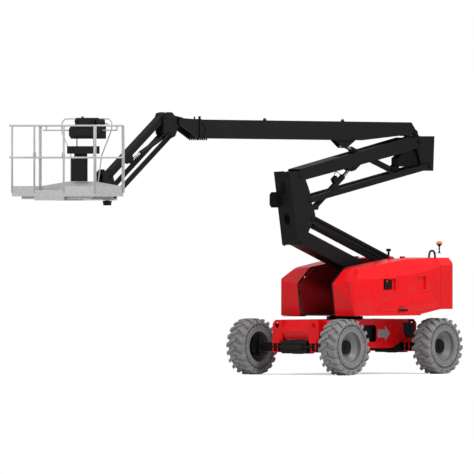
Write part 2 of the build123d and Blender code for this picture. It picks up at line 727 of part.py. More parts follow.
def chassis_frame_solid():
    wall = CHASSIS_PLATE
    half = [
        (HULL_HALF_LENGTH, CHASSIS_TOP),
        (HULL_HALF_LENGTH, HULL_CORNER_Z),
        (ARCH_START_X, ARCH_TOP),
        (BELLY_SLOPE_X, BELLY_SLOPE_Z),
        (BELLY_HALF_LENGTH, CHASSIS_BELLY),
    ]
    inner = [
        (HULL_HALF_LENGTH - wall, CHASSIS_TOP - wall),
        (HULL_HALF_LENGTH - wall, HULL_CORNER_Z + wall),
        (ARCH_START_X - wall, ARCH_TOP + wall),
        (BELLY_SLOPE_X - wall, BELLY_SLOPE_Z + wall),
        (BELLY_HALF_LENGTH - wall, CHASSIS_BELLY + wall),
    ]
    width = CHASSIS_HALF_WIDTH
    hull = slab(mirrored_outline(half), -width, width)
    hull -= slab(mirrored_outline(inner), -width + wall, width - wall)
    opening = block(SIDE_OPENING_REAR, SIDE_OPENING_FRONT, -width, width, SIDE_OPENING_LOW,
                    SIDE_OPENING_HIGH)
    hull -= fillet(opening.edges().filter_by(Axis.Y), SIDE_OPENING_RADIUS)
    nose_outline = [
        (HULL_HALF_LENGTH - wall, CHASSIS_TOP),
        (NOSE_TOP_X, CHASSIS_TOP),
        (NOSE_KNEE_X, NOSE_KNEE_Z),
        (NOSE_FOOT_X, ARCH_TOP),
        (HULL_HALF_LENGTH - wall, ARCH_TOP),
    ]
    nose = slab(nose_outline, -NOSE_HALF_WIDTH, NOSE_HALF_WIDTH)
    ear_outline = [
        (EAR_INNER_Y, EAR_BOTTOM),
        (width - EAR_CHAMFER / 2, EAR_BOTTOM),
        (width, EAR_BOTTOM + EAR_CHAMFER),
        (width, CHASSIS_TOP - EAR_CHAMFER),
        (width - EAR_CHAMFER, CHASSIS_TOP),
        (EAR_INNER_Y, CHASSIS_TOP),
    ]
    ear = panel(ear_outline, NOSE_KNEE_X - EAR_THICKNESS, NOSE_KNEE_X)
    ear -= shaft(TIE_DOWN_Y, TIE_DOWN_Z, TIE_DOWN_RADIUS, NOSE_TOP_X, NOSE_KNEE_X + wall)
    saddle = block(AXLE_X - SADDLE_HALF_DEPTH, AXLE_X + SADDLE_HALF_DEPTH,
                   SADDLE_INNER_Y - wall * 2, SADDLE_OUTER_Y,
                   ARCH_TOP - SADDLE_DROP - wall, ARCH_TOP)
    saddle -= drum(AXLE_X, TYRE_RADIUS, AXLE_TUBE_RADIUS, 0, CHASSIS_HALF_WIDTH)
    clamp_top = TYRE_RADIUS - AXLE_TUBE_RADIUS
    clamp = block(AXLE_X - SADDLE_HALF_DEPTH, AXLE_X + SADDLE_HALF_DEPTH,
                  SADDLE_INNER_Y, SADDLE_OUTER_Y, clamp_top - SADDLE_CLAMP, clamp_top)
    ends = nose + pair(ear + saddle)
    studs = []
    for x in (-1, 1):
        stud_x = AXLE_X + x * (SADDLE_HALF_DEPTH - SADDLE_STUD_RADIUS)
        for y in (SADDLE_INNER_Y + SADDLE_CLAMP, SADDLE_OUTER_Y - SADDLE_CLAMP):
            studs.append(post(stud_x, y, SADDLE_STUD_RADIUS, clamp_top - SADDLE_CLAMP, ARCH_TOP))
    ends += pair(clamp + studs)
    return hull + both_ends(ends)


def axle_solid():
    """Driven and steered axle about its own centre."""
    boss_y = WHEEL_Y - KINGPIN_INSET
    tube = drum(0, 0, AXLE_TUBE_RADIUS, -boss_y, boss_y)
    housing = block(-AXLE_HOUSING_HALF_DEPTH, AXLE_HOUSING_HALF_DEPTH,
                    -AXLE_HOUSING_HALF_LENGTH, AXLE_HOUSING_HALF_LENGTH,
                    -AXLE_HOUSING_HALF_HEIGHT, AXLE_HOUSING_HALF_HEIGHT)
    housing = chamfer(housing.edges().filter_by(Axis.Y), AXLE_HOUSING_CHAMFER)
    boss = post(0, boss_y, KINGPIN_BOSS_RADIUS, -KINGPIN_BOSS_HALF, KINGPIN_BOSS_HALF)
    bore = post(0, boss_y, KINGPIN_RADIUS + RUNNING_CLEARANCE, 0, KINGPIN_BOSS_HALF)
    bore += mirror(bore, about=Plane.XY)
    neck = KINGPIN_BOSS_HALF - KINGPIN_DEPTH - RUNNING_CLEARANCE
    bore -= post(0, boss_y, KINGPIN_BOSS_RADIUS, -neck, neck)
    trim = block(-AXLE_TUBE_RADIUS, AXLE_TUBE_RADIUS, boss_y - KINGPIN_TRIM,
                 boss_y + AXLE_TUBE_RADIUS, -AXLE_TUBE_RADIUS, AXLE_TUBE_RADIUS)
    body = tube - pair(trim)
    housing += drum(0, 0, DIFFERENTIAL_RADIUS, -DIFFERENTIAL_LENGTH / 2, DIFFERENTIAL_LENGTH / 2)
    housing += shaft(0, 0, PINION_RADIUS, -AXLE_HOUSING_HALF_DEPTH - PINION_LENGTH, 0)
    # The steering cylinder lies in front of the housing, its rod reaching out at both ends.
    steer_x = AXLE_HOUSING_HALF_DEPTH + STEER_CYLINDER_RADIUS
    housing += drum(steer_x, 0, STEER_CYLINDER_RADIUS, -STEER_CYLINDER_HALF, STEER_CYLINDER_HALF)
    housing += drum(steer_x, 0, STEER_ROD_RADIUS, -STEER_ROD_HALF, STEER_ROD_HALF)
    return body + housing + pair(boss) - pair(bore)


def slew_ring_solid():
    ring = post(0, 0, SLEW_OUTER_RADIUS, CHASSIS_TOP, SLEW_RING_TOP)
    return ring - post(0, 0, SLEW_BORE_RADIUS, CHASSIS_TOP, SLEW_RING_TOP)


# ------------------------------------------------------------------ the turret
def softened(face, place, radius):
    """Face with the corner nearest to a place rounded."""
    return fillet(face.vertices().sort_by_distance((*place, 0))[0], radius)


def cover_profile(inset):
    """Side face of the hood, drawn in by an inset, with its crease and brow rounded."""
    front = COVER_FRONT_X - inset
    crease = (front, COVER_CREASE_Z)
    brow = (COVER_BROW_X - inset, COVER_BROW_Z - inset)
    outline = [
        (COVER_FRONT_FOOT_X - inset, COVER_BOTTOM),
        crease,
        brow,
        (COVER_ROOF_X, COVER_ROOF_Z - inset),
        (COVER_REAR_X, COVER_TOP - inset),
        (COVER_REAR_X, COVER_REAR_BOTTOM),
        (COVER_BOTTOM_BREAK_X, COVER_BOTTOM),
    ]
    face = make_face(Polyline(*outline, close=True))
    face = softened(face, crease, COVER_CREASE_RADIUS - inset)
    return softened(face, brow, COVER_BROW_RADIUS - inset)


def cover_plan(inset):
    """Plan face of the left hood, drawn in by an inset, with its front corner rounded."""
    corner = (COVER_CORNER_X - inset, COVER_CORNER_Y - inset)
    middle = (COVER_MIDDLE_X, COVER_MIDDLE_Y - inset)
    rear = (COVER_REAR_X, COVER_REAR_Y - inset)
    front = (COVER_FRONT_X - inset, COVER_INNER_Y)
    edges = [
        Line(front, corner),
        ThreePointArc(corner, middle, rear),
        Line(rear, (COVER_REAR_X, COVER_INNER_Y)),
        Line((COVER_REAR_X, COVER_INNER_Y), front),
    ]
    return softened(make_face(edges), corner, COVER_CORNER_RADIUS - inset)


def cover_body(inset):
    """Closed form of the left hood, drawn in by an inset."""
    high = COVER_TOP + COVER_WALL
    body = extrude(Pos(0, 0, COVER_BOTTOM) * cover_plan(inset), amount=high - COVER_BOTTOM)
    side = extrude(Plane.XZ * cover_profile(inset), amount=-COVER_REAR_Y - COVER_WALL)
    body = body & side
    # The shoulder is cut along a plane that follows the hood's flare to the rear.
    flare = heading((COVER_CORNER_X, COVER_CORNER_Y), (COVER_REAR_X, COVER_REAR_Y)) - 180.0
    drop = COVER_SHOULDER_DROP
    across = COVER_SHOULDER_WIDTH
    lean = inset * COVER_SHOULDER_INSET
    far = COVER_SHOULDER_FAR
    rise = (far - across - lean) * drop / across
    fall = (far + across + lean) * drop / across
    wedge = panel([(-far, rise), (far, -fall), (far, far)], -COVER_FRONT_X * 4, COVER_FRONT_X * 4)
    seat = Location((COVER_REAR_X, COVER_REAR_Y, COVER_TOP), (0, COVER_SHOULDER_TILT, flare))
    return body - seat * wedge


def cover_solid():
    """Left hood: an open shell with pockets and a door seam, hinged along its inner top edge."""
    outer = cover_body(0.0)
    shell = outer - cover_body(COVER_WALL)
    inner_low = COVER_BOTTOM - COVER_WALL
    shell -= block(COVER_REAR_X, COVER_FRONT_FOOT_X - COVER_WALL * 3, COVER_INNER_Y,
                   COVER_CORNER_Y - COVER_WALL * 3, inner_low, COVER_BOTTOM + COVER_WALL)
    floor = cover_body(POCKET_DEPTH)
    backing = cover_body(POCKET_DEPTH + POCKET_WALL)
    far = COVER_REAR_Y + COVER_WALL
    for x_low, x_high, z_low, z_high in COVER_POCKETS:
        liner = block(x_low - POCKET_WALL, x_high + POCKET_WALL, COVER_INNER_Y, far,
                      z_low - POCKET_WALL, z_high + POCKET_WALL) & outer
        hollow = block(x_low, x_high, COVER_INNER_Y, far, z_low, z_high)
        shell = shell + (liner - backing) - (hollow - floor)
    shell += scoop_solid(outer)
    door = make_face(Polyline(*DOOR_OUTLINE, close=True))
    ring = door - offset(door, -SEAM_WIDTH)
    seam = extrude(Plane.XZ * ring, amount=-far) - cover_body(SEAM_DEPTH)
    return shell - seam - scoop_cut()


def scoop_cut():
    """Wedge that is cut out of the flank, deepest at its front end."""
    rear, front, low, high = COVER_SCOOP
    return cover_flank(rear, COVER_REAR_Y, front, -SCOOP_DEPTH, low, high)


def cover_flank(rear, far, front, shift, low, high):
    """Prism outside a straight line that runs along the flank, set in at its front end."""
    line = [(rear, flank_y(rear)), (front, flank_y(front) + shift), (front, far), (rear, far)]
    return sheet(line, low, high)


def flank_y(x):
    """Half-width of the hood's flank at an x, on the arc through its three plan points."""
    arc = ThreePointArc((COVER_CORNER_X, COVER_CORNER_Y), (COVER_MIDDLE_X, COVER_MIDDLE_Y),
                        (COVER_REAR_X, COVER_REAR_Y))
    centre = arc.arc_center
    return centre.Y + (arc.radius ** 2 - (x - centre.X) ** 2) ** 0.5


def scoop_solid(outer):
    """Backing behind the wedge-shaped scoop."""
    rear, front, low, high = COVER_SCOOP
    wall = POCKET_WALL
    cut = cover_flank(rear, COVER_REAR_Y, front, -SCOOP_DEPTH - COVER_WALL, low - wall, high + wall)
    return outer & cut


def cover_hinge_solid():
    """Eyes and leaves that carry the left hood on its hinge pins."""
    parts = []
    for x in COVER_HINGE_XS:
        low = x + HINGE_LUG_LENGTH + HINGE_GAP
        high = low + HINGE_EYE_LENGTH
        eye = shaft(COVER_HINGE_Y, COVER_HINGE_Z, HINGE_EYE_RADIUS, low, high)
        leaf = block(low, high, COVER_HINGE_Y, COVER_HINGE_Y + HINGE_LEAF, COVER_ROOF_Z - COVER_WALL * 3,
                     COVER_HINGE_Z)
        bore = shaft(COVER_HINGE_Y, COVER_HINGE_Z, HINGE_PIN_RADIUS + RUNNING_CLEARANCE, low, high)
        parts.append(eye + leaf - bore)
    return parts


def turret_frame_solid():
    """Deck, bulkheads, slewing drum, hinge pins and the tower that carries the lower riser."""
    deck_top = DECK_BOTTOM + DECK_THICKNESS
    inset = DECK_INSET
    half = [
        (COVER_FRONT_FOOT_X - inset, 0),
        (COVER_FRONT_FOOT_X - inset, COVER_CORNER_Y - DECK_SIDE_INSET),
        (COVER_MIDDLE_X, COVER_MIDDLE_Y - DECK_SIDE_INSET),
        (DECK_WIDE_REAR_X, COVER_MIDDLE_Y - DECK_SIDE_INSET),
        (DECK_WIDE_REAR_X, DECK_TAIL_Y),
        (TAIL_SIDE_X, DECK_TAIL_Y),
        (TAIL_SIDE_X, 0),
    ]
    body = pair(sheet(half, DECK_BOTTOM, deck_top))
    body += post(0, 0, SLEW_BORE_RADIUS - SLEW_CLEARANCE, CHASSIS_TOP + DECK_THICKNESS, deck_top)
    bulkhead_outline = [
        (COVER_FRONT_FOOT_X - inset, deck_top),
        (COVER_FRONT_X - inset, COVER_CREASE_Z),
        (COVER_BROW_X - inset, COVER_BROW_Z - inset),
        (COVER_ROOF_X, COVER_ROOF_Z - inset),
        (COVER_REAR_X, COVER_TOP - inset),
        (COVER_REAR_X, deck_top),
    ]
    bulkhead = slab(bulkhead_outline, BULKHEAD_INNER_Y, BULKHEAD_OUTER_Y)
    # The sheet's edge is folded inwards, and ribs stiffen it.
    edge = make_face(Polyline(*bulkhead_outline, close=True))
    fold = extrude(Plane.XZ * (edge - offset(edge, -FOLD_THICKNESS)), amount=-FOLD_WIDTH)
    bulkhead += Pos(0, BULKHEAD_INNER_Y - FOLD_WIDTH, 0) * fold
    for x in BULKHEAD_RIB_XS:
        bulkhead += block(x, x + RIB_WIDTH, BULKHEAD_INNER_Y - RIB_DEPTH, BULKHEAD_INNER_Y, deck_top,
                          RIB_TOP)
    tower_outline = [
        (TOWER_FRONT_X, deck_top),
        (TOWER_ARM_PIN[0] + TOWER_MARGIN, TOWER_ARM_PIN[1]),
        (TOWER_LINK_PIN[0] + TOWER_MARGIN, TOWER_LINK_PIN[1] + TOWER_MARGIN / 2),
        (TOWER_LINK_PIN[0], TOWER_LINK_PIN[1] + TOWER_MARGIN),
        (TOWER_LINK_PIN[0] - TOWER_MARGIN, TOWER_LINK_PIN[1]),
        (TOWER_LINK_PIN[0] - TOWER_MARGIN, TOWER_WAIST_Z),
        (TOWER_REAR_X, deck_top),
    ]
    tower = slab(tower_outline, TOWER_HALF_WIDTH - TOWER_PLATE, TOWER_HALF_WIDTH)
    pins = capped_pin(TOWER_ARM_PIN, TOWER_HALF_WIDTH) + capped_pin(TOWER_LINK_PIN, TOWER_HALF_WIDTH)
    lugs = []
    for x in COVER_HINGE_XS:
        end = x + HINGE_LUG_LENGTH + HINGE_GAP * 2 + HINGE_EYE_LENGTH
        for low in (x, end):
            high = low + HINGE_LUG_LENGTH
            lug = block(low, high, BULKHEAD_INNER_Y, BULKHEAD_OUTER_Y, COVER_ROOF_Z - inset * 3,
                        COVER_HINGE_Z + HINGE_EYE_RADIUS)
            lug += block(low, high, BULKHEAD_INNER_Y, COVER_HINGE_Y, COVER_HINGE_Z - HINGE_PIN_RADIUS,
                         COVER_HINGE_Z + HINGE_EYE_RADIUS)
            lugs.append(lug + shaft(COVER_HINGE_Y, COVER_HINGE_Z, HINGE_EYE_RADIUS, low, high))
        lugs.append(shaft(COVER_HINGE_Y, COVER_HINGE_Z, HINGE_PIN_RADIUS, x, end + HINGE_LUG_LENGTH))
    return body + pair(bulkhead + tower) + pins + pair(Part() + lugs)


def counterweight_solid():
    front = COVER_REAR_X - TAIL_GAP
    top = COVER_TOP
    half = [
        Line((front, 0), (front, COVER_REAR_Y)),
        Line((front, COVER_REAR_Y), (TAIL_SIDE_X, COVER_REAR_Y)),
        ThreePointArc((TAIL_SIDE_X, COVER_REAR_Y), TAIL_CORNER, (TAIL_CORNER_X, TAIL_FLANK_Y)),
        ThreePointArc((TAIL_CORNER_X, TAIL_FLANK_Y), (TAIL_CENTRE_X, 0),
                      (TAIL_CORNER_X, -TAIL_FLANK_Y)),
        ThreePointArc((TAIL_CORNER_X, -TAIL_FLANK_Y), (TAIL_CORNER[0], -TAIL_CORNER[1]),
                      (TAIL_SIDE_X, -COVER_REAR_Y)),
        Line((TAIL_SIDE_X, -COVER_REAR_Y), (front, -COVER_REAR_Y)),
        Line((front, -COVER_REAR_Y), (front, 0)),
    ]
    body = Pos(0, 0, COVER_REAR_BOTTOM) * extrude(make_face(half), amount=top - COVER_REAR_BOTTOM)
    side_outline = [
        (front, COVER_REAR_BOTTOM), (front, top), (TAIL_CORNER_X, top),
        (TAIL_CENTRE_X, top - TAIL_EDGE * 2), (TAIL_CENTRE_X, COVER_REAR_BOTTOM + TAIL_EDGE * 2),
        (TAIL_CORNER_X, COVER_REAR_BOTTOM),
    ]
    body = body & slab(side_outline, -COVER_REAR_Y, COVER_REAR_Y)
    slot = block(TAIL_SLOT_END_X, front, -TAIL_SLOT_HALF, TAIL_SLOT_HALF, COVER_REAR_BOTTOM, top)
    body -= slot
    foot_top = COVER_REAR_BOTTOM
    foot = block(TAIL_SIDE_X + TAIL_EDGE, front - TAIL_EDGE, TAIL_SLOT_HALF, TAIL_FOOT_Y,
                 DECK_BOTTOM + DECK_THICKNESS, foot_top)
    shoulder = COVER_SHOULDER_DROP
    wedge = panel([(0, -shoulder), (shoulder, -shoulder), (shoulder, shoulder),
                   (-COVER_SHOULDER_WIDTH, 0)], TAIL_CENTRE_X, 0)
    cut = Pos(0, COVER_REAR_Y, COVER_TOP) * wedge
    return body - pair(cut) + pair(foot)


def engine_solid():
    low = DECK_BOTTOM + DECK_THICKNESS
    return block(ENGINE_CENTRE_X - ENGINE_LENGTH / 2, ENGINE_CENTRE_X + ENGINE_LENGTH / 2,
                 ENGINE_CENTRE_Y - ENGINE_WIDTH / 2, ENGINE_CENTRE_Y + ENGINE_WIDTH / 2,
                 low, low + ENGINE_HEIGHT)


def beacon_solid():
    """Warning light on a small plate, held by a bar loop that stands on the counterweight."""
    bar = BEACON_LOOP_RADIUS
    loop = shaft(BEACON_LOOP_Y, BEACON_LOOP_TOP, bar, BEACON_LOOP_REAR_X - bar,
                 BEACON_LOOP_FRONT_X + bar)
    for x in (BEACON_LOOP_REAR_X, BEACON_LOOP_FRONT_X):
        loop += post(x, BEACON_LOOP_Y, bar, COVER_TOP, BEACON_LOOP_TOP + bar)
    half = BEACON_PLATE_HALF
    plate_top = BEACON_PLATE_Z + BEACON_PLATE_THICKNESS
    plate = block(BEACON_X - half, BEACON_LOOP_REAR_X + bar, BEACON_LOOP_Y, BEACON_Y + half,
                  BEACON_PLATE_Z, plate_top)
    lens_low = BEACON_TOP - BEACON_LENS_HEIGHT
    stem = post(BEACON_X, BEACON_Y, BEACON_POLE_RADIUS, plate_top, lens_low)
    return loop + plate + stem + post(BEACON_X, BEACON_Y, BEACON_LENS_RADIUS, lens_low, BEACON_TOP)


# ---------------------------------------------------------------- risers
def bored(solid, radius, *places):
    """Bores along Y through a solid, each with running room for a pin."""
    for x, z in places:
        solid -= drum(x, z, radius + RUNNING_CLEARANCE, -BORE_REACH, BORE_REACH)
    return solid


def link_bars(length, height, inner_y, outer_y, tie_inset, radius):
    """Two bars with eyes at both ends and tubes between them, drawn along +X."""
    half = height / 2
    bar = block(0, length, inner_y, outer_y, -half, half)
    for x in (0, length):
        bar += drum(x, 0, max(half, EYE_RADIUS * LINK_EYE_SHARE), inner_y, outer_y)
    bars = pair(bar)
    for x in (tie_inset, length - tie_inset):
        bars += drum(x, 0, LINK_TIE_RADIUS, -inner_y, inner_y)
    return bored(bars, radius, (0, 0), (length, 0))


def lower_arm_solid():
    width = LOWER_ARM_HALF_WIDTH
    wall = ARM_WALL
    body = block(ARM_END_INSET, LOWER_LENGTH - ARM_END_INSET, -width, width,
                 LOWER_ARM_BOTTOM, LOWER_ARM_TOP)
    body -= block(0, LOWER_LENGTH, -width + wall, width - wall,
                  LOWER_ARM_BOTTOM + wall, LOWER_ARM_TOP - wall)
    for x in (0, LOWER_LENGTH):
        body += drum(x, 0, EYE_RADIUS, -width, width)
        low, high = (0, ARM_CHEEK) if x == 0 else (LOWER_LENGTH - ARM_CHEEK, LOWER_LENGTH)
        cheek = block(low, high, width - wall * 3, width, LOWER_ARM_BOTTOM, EYE_RADIUS)
        body += pair(cheek)
    body = bored(body, PIN_RADIUS, (0, 0), (LOWER_LENGTH, 0))
    return along(TOWER_ARM_PIN, LOWER_ANGLE) * body


def lower_link_solid():
    bars = link_bars(LOWER_LENGTH, LOWER_LINK_HEIGHT, LINK_BAR_INNER_Y, LINK_BAR_OUTER_Y,
                     LINK_TIE_INSET, PIN_RADIUS)
    return along(TOWER_LINK_PIN, LOWER_ANGLE) * bars


def riser_knuckle_solid():
    """Link between the two parallelograms: side plates, a front plate and four pins."""
    foot = KNUCKLE_ARM_PIN
    outline = [shifted(foot, dx, dz) for dx, dz in KNUCKLE_OUTLINE]
    side = pair(slab(outline, KNUCKLE_PLATE_INNER_Y, KNUCKLE_PLATE_OUTER_Y))
    top_front = outline[0]
    low_front = outline[-1]
    front_outline = [
        top_front,
        low_front,
        shifted(low_front, -KNUCKLE_FRONT_PLATE, KNUCKLE_FRONT_PLATE),
        shifted(top_front, -KNUCKLE_FRONT_PLATE, 0),
    ]
    body = side + slab(front_outline, -KNUCKLE_PLATE_INNER_Y, KNUCKLE_PLATE_INNER_Y)
    for low, high in KNUCKLE_SLOTS:
        centre = foot[1] + (low + high) / 2
        slot = SlotOverall(high - low, KNUCKLE_SLOT_WIDTH)
        cut = Plane.YZ * Rot(0, 0, 90) * slot
        body -= Pos(foot[0], 0, centre) * extrude(cut, amount=KNUCKLE_SLOT_REACH)
    for place in (KNUCKLE_ARM_PIN, KNUCKLE_LINK_PIN, UPPER_ARM_PIN, UPPER_LINK_PIN):
        body += capped_pin(place, KNUCKLE_PLATE_OUTER_Y)
    # A guard plate stands out in front of the right side plate.
    body += panel_guard()
    # The riser cylinder's foot pin sits between two lugs that stand on a cross plate.
    low = shifted(RISER_FOOT_PIN, FOOT_LUG_RADIUS, -FOOT_LUG_RADIUS)
    lug = drum(*RISER_FOOT_PIN, FOOT_LUG_RADIUS, RISER_EYE_HALF + LUG_GAP,
               RISER_EYE_HALF + LUG_GAP + LUG_PLATE)
    lug += block(RISER_FOOT_PIN[0], RISER_FOOT_PIN[0] + FOOT_LUG_REACH, RISER_EYE_HALF + LUG_GAP,
                 RISER_EYE_HALF + LUG_GAP + LUG_PLATE, RISER_FOOT_PIN[1] - FOOT_LUG_RADIUS,
                 RISER_FOOT_PIN[1] + FOOT_LUG_RADIUS)
    body += pair(lug)
    web_x = RISER_FOOT_PIN[0] + FOOT_LUG_REACH
    body += block(web_x, web_x + LUG_PLATE, -KNUCKLE_PLATE_INNER_Y, KNUCKLE_PLATE_INNER_Y,
                  RISER_FOOT_PIN[1] - FOOT_LUG_RADIUS, RISER_FOOT_PIN[1] + FOOT_LUG_RADIUS)
    span = RISER_EYE_HALF + LUG_GAP + LUG_PLATE
    return body + drum(*RISER_FOOT_PIN, CYLINDER_PIN_RADIUS, -span, span)


def panel_guard():
    """Guard plate on the right front edge of the riser knuckle."""
    foot = KNUCKLE_ARM_PIN
    low, high = foot[1] + GUARD_LOW, foot[1] + GUARD_HIGH
    rear, front = foot[0] + GUARD_REAR, foot[0] + GUARD_FRONT
    outline = [
        (rear, low), (front - GUARD_CHAMFER, low), (front, low + GUARD_CHAMFER),
        (front, high - GUARD_CHAMFER), (front - GUARD_CHAMFER, high), (rear, high),
    ]
    return slab(outline, -KNUCKLE_PLATE_OUTER_Y, -KNUCKLE_PLATE_INNER_Y)


def upper_arm_solid():
    """Upper riser arm, drawn from its rear pin: two cheeks round a slot, then a closed box."""
    rear = UPPER_ARM_REAR_HEIGHT / 2
    front = UPPER_ARM_FRONT_HEIGHT / 2
    slot = UPPER_SLOT_LENGTH
    outline = [
        (0, UPPER_EYE), (UPPER_NECK_START, UPPER_EYE), (UPPER_NECK_END, rear),
        (UPPER_LENGTH - ARM_END_INSET, front), (UPPER_LENGTH - ARM_END_INSET, -front),
        (UPPER_NECK_END, -rear), (0, -UPPER_EYE),
    ]
    width = UPPER_ARM_HALF_WIDTH
    wall = ARM_WALL
    shell = slab(outline, -width, width)
    inner = [(-rear, rear - wall), (UPPER_LENGTH, front - wall),
             (UPPER_LENGTH, wall - front), (-rear, wall - rear)]
    shell -= slab(inner, -width + wall, width - wall)
    shell -= block(-rear, UPPER_FLANGE_START, -width + wall, width - wall, -rear, rear)
    shell -= block(-rear, slot, -UPPER_SLOT_HALF, UPPER_SLOT_HALF, -rear, rear)
    stiff = width - UPPER_CHEEK
    shell += pair(drum(0, 0, UPPER_EYE, stiff, width))
    shell += drum(UPPER_LENGTH, 0, front * NOSE_SHARE, -width, width)
    shell += pair(block(UPPER_LENGTH - ARM_CHEEK, UPPER_LENGTH, stiff, width,
                        -front * NOSE_SHARE, front * NOSE_SHARE))
    head = upper_local(RISER_HEAD_PIN)
    lug_low = RISER_EYE_HALF + LUG_GAP
    hanger = [
        (head[0] - HANGER_REAR, -rear * TAIL_SHARE), (head[0] + HANGER_FRONT, -rear * TAIL_SHARE),
        (head[0] + FOOT_LUG_RADIUS, head[1] - FOOT_LUG_RADIUS),
        (head[0] - FOOT_LUG_RADIUS, head[1] - FOOT_LUG_RADIUS),
    ]
    plates = slab(hanger, lug_low, lug_low + LUG_PLATE)
    web_rear, web_front = head[0] + HANGER_FRONT / 2, head[0] + HANGER_FRONT
    web_low = -rear * TAIL_SHARE
    web = [(web_rear, web_low + wall), (web_front, web_low + wall),
           (web_front, web_low), (web_rear, web_low)]
    shell += pair(plates + slab(web, lug_low, width - wall))
    shell += pair(drum(*head, CYLINDER_PIN_RADIUS, lug_low, lug_low + LUG_PLATE + PIN_HEAD))
    shell = bored(shell, PIN_RADIUS, (0, 0), (UPPER_LENGTH, 0))
    return along(REAR_ARM_PIN, -UPPER_ANGLE) * shell


def upper_local(place):
    """Coordinates of an (x, z) point along and across the upper arm, from its rear pin."""
    angle = radians(-UPPER_ANGLE)
    dx = place[0] - REAR_ARM_PIN[0]
    dz = place[1] - REAR_ARM_PIN[1]
    return (dx * cos(angle) + dz * sin(angle), dz * cos(angle) - dx * sin(angle))


def upper_link_solid():
    bars = link_bars(UPPER_LENGTH, UPPER_LINK_HEIGHT, LINK_BAR_INNER_Y, LINK_BAR_OUTER_Y,
                     LINK_TIE_INSET, PIN_RADIUS)
    return along(REAR_LINK_PIN, -UPPER_ANGLE) * bars


def rear_link_solid():
    """Upright link at the rear end of the upper riser, which carries the main boom."""
    foot = REAR_LINK_PIN
    outline = [shifted(foot, dx, dz) for dx, dz in REAR_OUTLINE]
    body = pair(slab(outline, REAR_EAR_INNER_Y, REAR_EAR_OUTER_Y))
    body += pair(drum(*BOOM_PIN, EYE_RADIUS, REAR_EAR_INNER_Y, REAR_EAR_OUTER_Y))
    box_rear = foot[0] + REAR_WEB_DX
    body += block(box_rear, box_rear + REAR_WEB_PLATE, -REAR_EAR_INNER_Y, REAR_EAR_INNER_Y,
                  foot[1] + REAR_WEB_LOW, foot[1] + REAR_WEB_HIGH)
    box = [shifted(foot, dx, dz) for dx, dz in REAR_BOX_OUTLINE]
    body += slab(box, -REAR_EAR_INNER_Y, REAR_EAR_INNER_Y)
    body += capped_pin(REAR_ARM_PIN, UPPER_ARM_HALF_WIDTH + PIN_HEAD)
    body += capped_pin(REAR_LINK_PIN, LINK_BAR_OUTER_Y + PIN_HEAD)
    body += capped_pin(BOOM_PIN, BOOM_HALF_WIDTH + PIN_HEAD)
    lug_low = LIFT_EYE_HALF + LUG_GAP
    lug = drum(*LIFT_FOOT_PIN, FOOT_LUG_RADIUS, lug_low, lug_low + LUG_PLATE)
    lug += slab([shifted(LIFT_FOOT_PIN, 0, FOOT_LUG_RADIUS),
                 shifted(LIFT_FOOT_PIN, -LIFT_LUG_REACH, LIFT_LUG_RISE),
                 shifted(LIFT_FOOT_PIN, -LIFT_LUG_REACH, -FOOT_LUG_RADIUS),
                 shifted(LIFT_FOOT_PIN, 0, -FOOT_LUG_RADIUS)], lug_low, lug_low + LUG_PLATE)
    body += pair(lug)
    span = lug_low + LUG_PLATE
    return body + drum(*LIFT_FOOT_PIN, CYLINDER_PIN_RADIUS, -span, span)


# --------------------------------------------------------------- the main boom
def boom_outer_solid():
    """Outer boom section, drawn from its pivot pin."""
    wall = BOOM_WALL
    width = BOOM_HALF_WIDTH
    outline = [
        (BOOM_ROOT_TOP_X, BOOM_TOP), (BOOM_FRONT, BOOM_TOP), (BOOM_FRONT, BOOM_BOTTOM),
        (BOOM_TAPER_START, BOOM_BOTTOM), (BOOM_ROOT_OPEN, -BOOM_ROOT_DEPTH),
        (BOOM_ROOT_EYE, -BOOM_ROOT_EYE), (-BOOM_ROOT_EYE, 0),
    ]
    hollow = [
        (-BOOM_ROOT_OPEN, BOOM_TOP - wall), (BOOM_FRONT, BOOM_TOP - wall),
        (BOOM_FRONT, BOOM_BOTTOM + wall), (BOOM_TAPER_START, BOOM_BOTTOM + wall),
        (BOOM_ROOT_OPEN, wall - BOOM_ROOT_DEPTH), (BOOM_ROOT_OPEN, BOOM_BOTTOM),
        (-BOOM_ROOT_OPEN, BOOM_BOTTOM),
    ]
    body = slab(outline, -width, width) - slab(hollow, -width + wall, width - wall)
    eye = drum(0, 0, BOOM_ROOT_EYE, REAR_EAR_OUTER_Y + LUG_GAP, width)
    body += pair(eye)
    # Wear pads fill the gap round the inner section at the mouth of the outer one.
    pad_low = BOOM_FRONT - WEAR_PAD_LENGTH
    ring = block(pad_low, BOOM_FRONT, -width + wall, width - wall, BOOM_BOTTOM + wall, BOOM_TOP - wall)
    ring -= block(pad_low, BOOM_FRONT, -INNER_HALF_WIDTH - WEAR_PAD_GAP,
                  INNER_HALF_WIDTH + WEAR_PAD_GAP, INNER_BOTTOM - WEAR_PAD_GAP,
                  INNER_TOP + WEAR_PAD_GAP)
    body += ring
    body += boom_fittings()
    head = (LIFT_HEAD_DX, LIFT_HEAD_DZ)
    lug_low = LIFT_EYE_HALF + LUG_GAP
    hanger = [
        (head[0] - LIFT_HANGER_REAR, BOOM_BOTTOM), (head[0] + LIFT_HANGER_FRONT, BOOM_BOTTOM),
        (head[0] + FOOT_LUG_RADIUS, head[1] - FOOT_LUG_RADIUS),
        (head[0] - FOOT_LUG_RADIUS, head[1] - FOOT_LUG_RADIUS),
    ]
    body += pair(slab(hanger, lug_low, lug_low + LUG_PLATE))
    body += pair(drum(*head, CYLINDER_PIN_RADIUS, lug_low, lug_low + LUG_PLATE + PIN_HEAD))
    body = bored(body, PIN_RADIUS, (0, 0))
    return along(BOOM_PIN, BOOM_ANGLE) * body


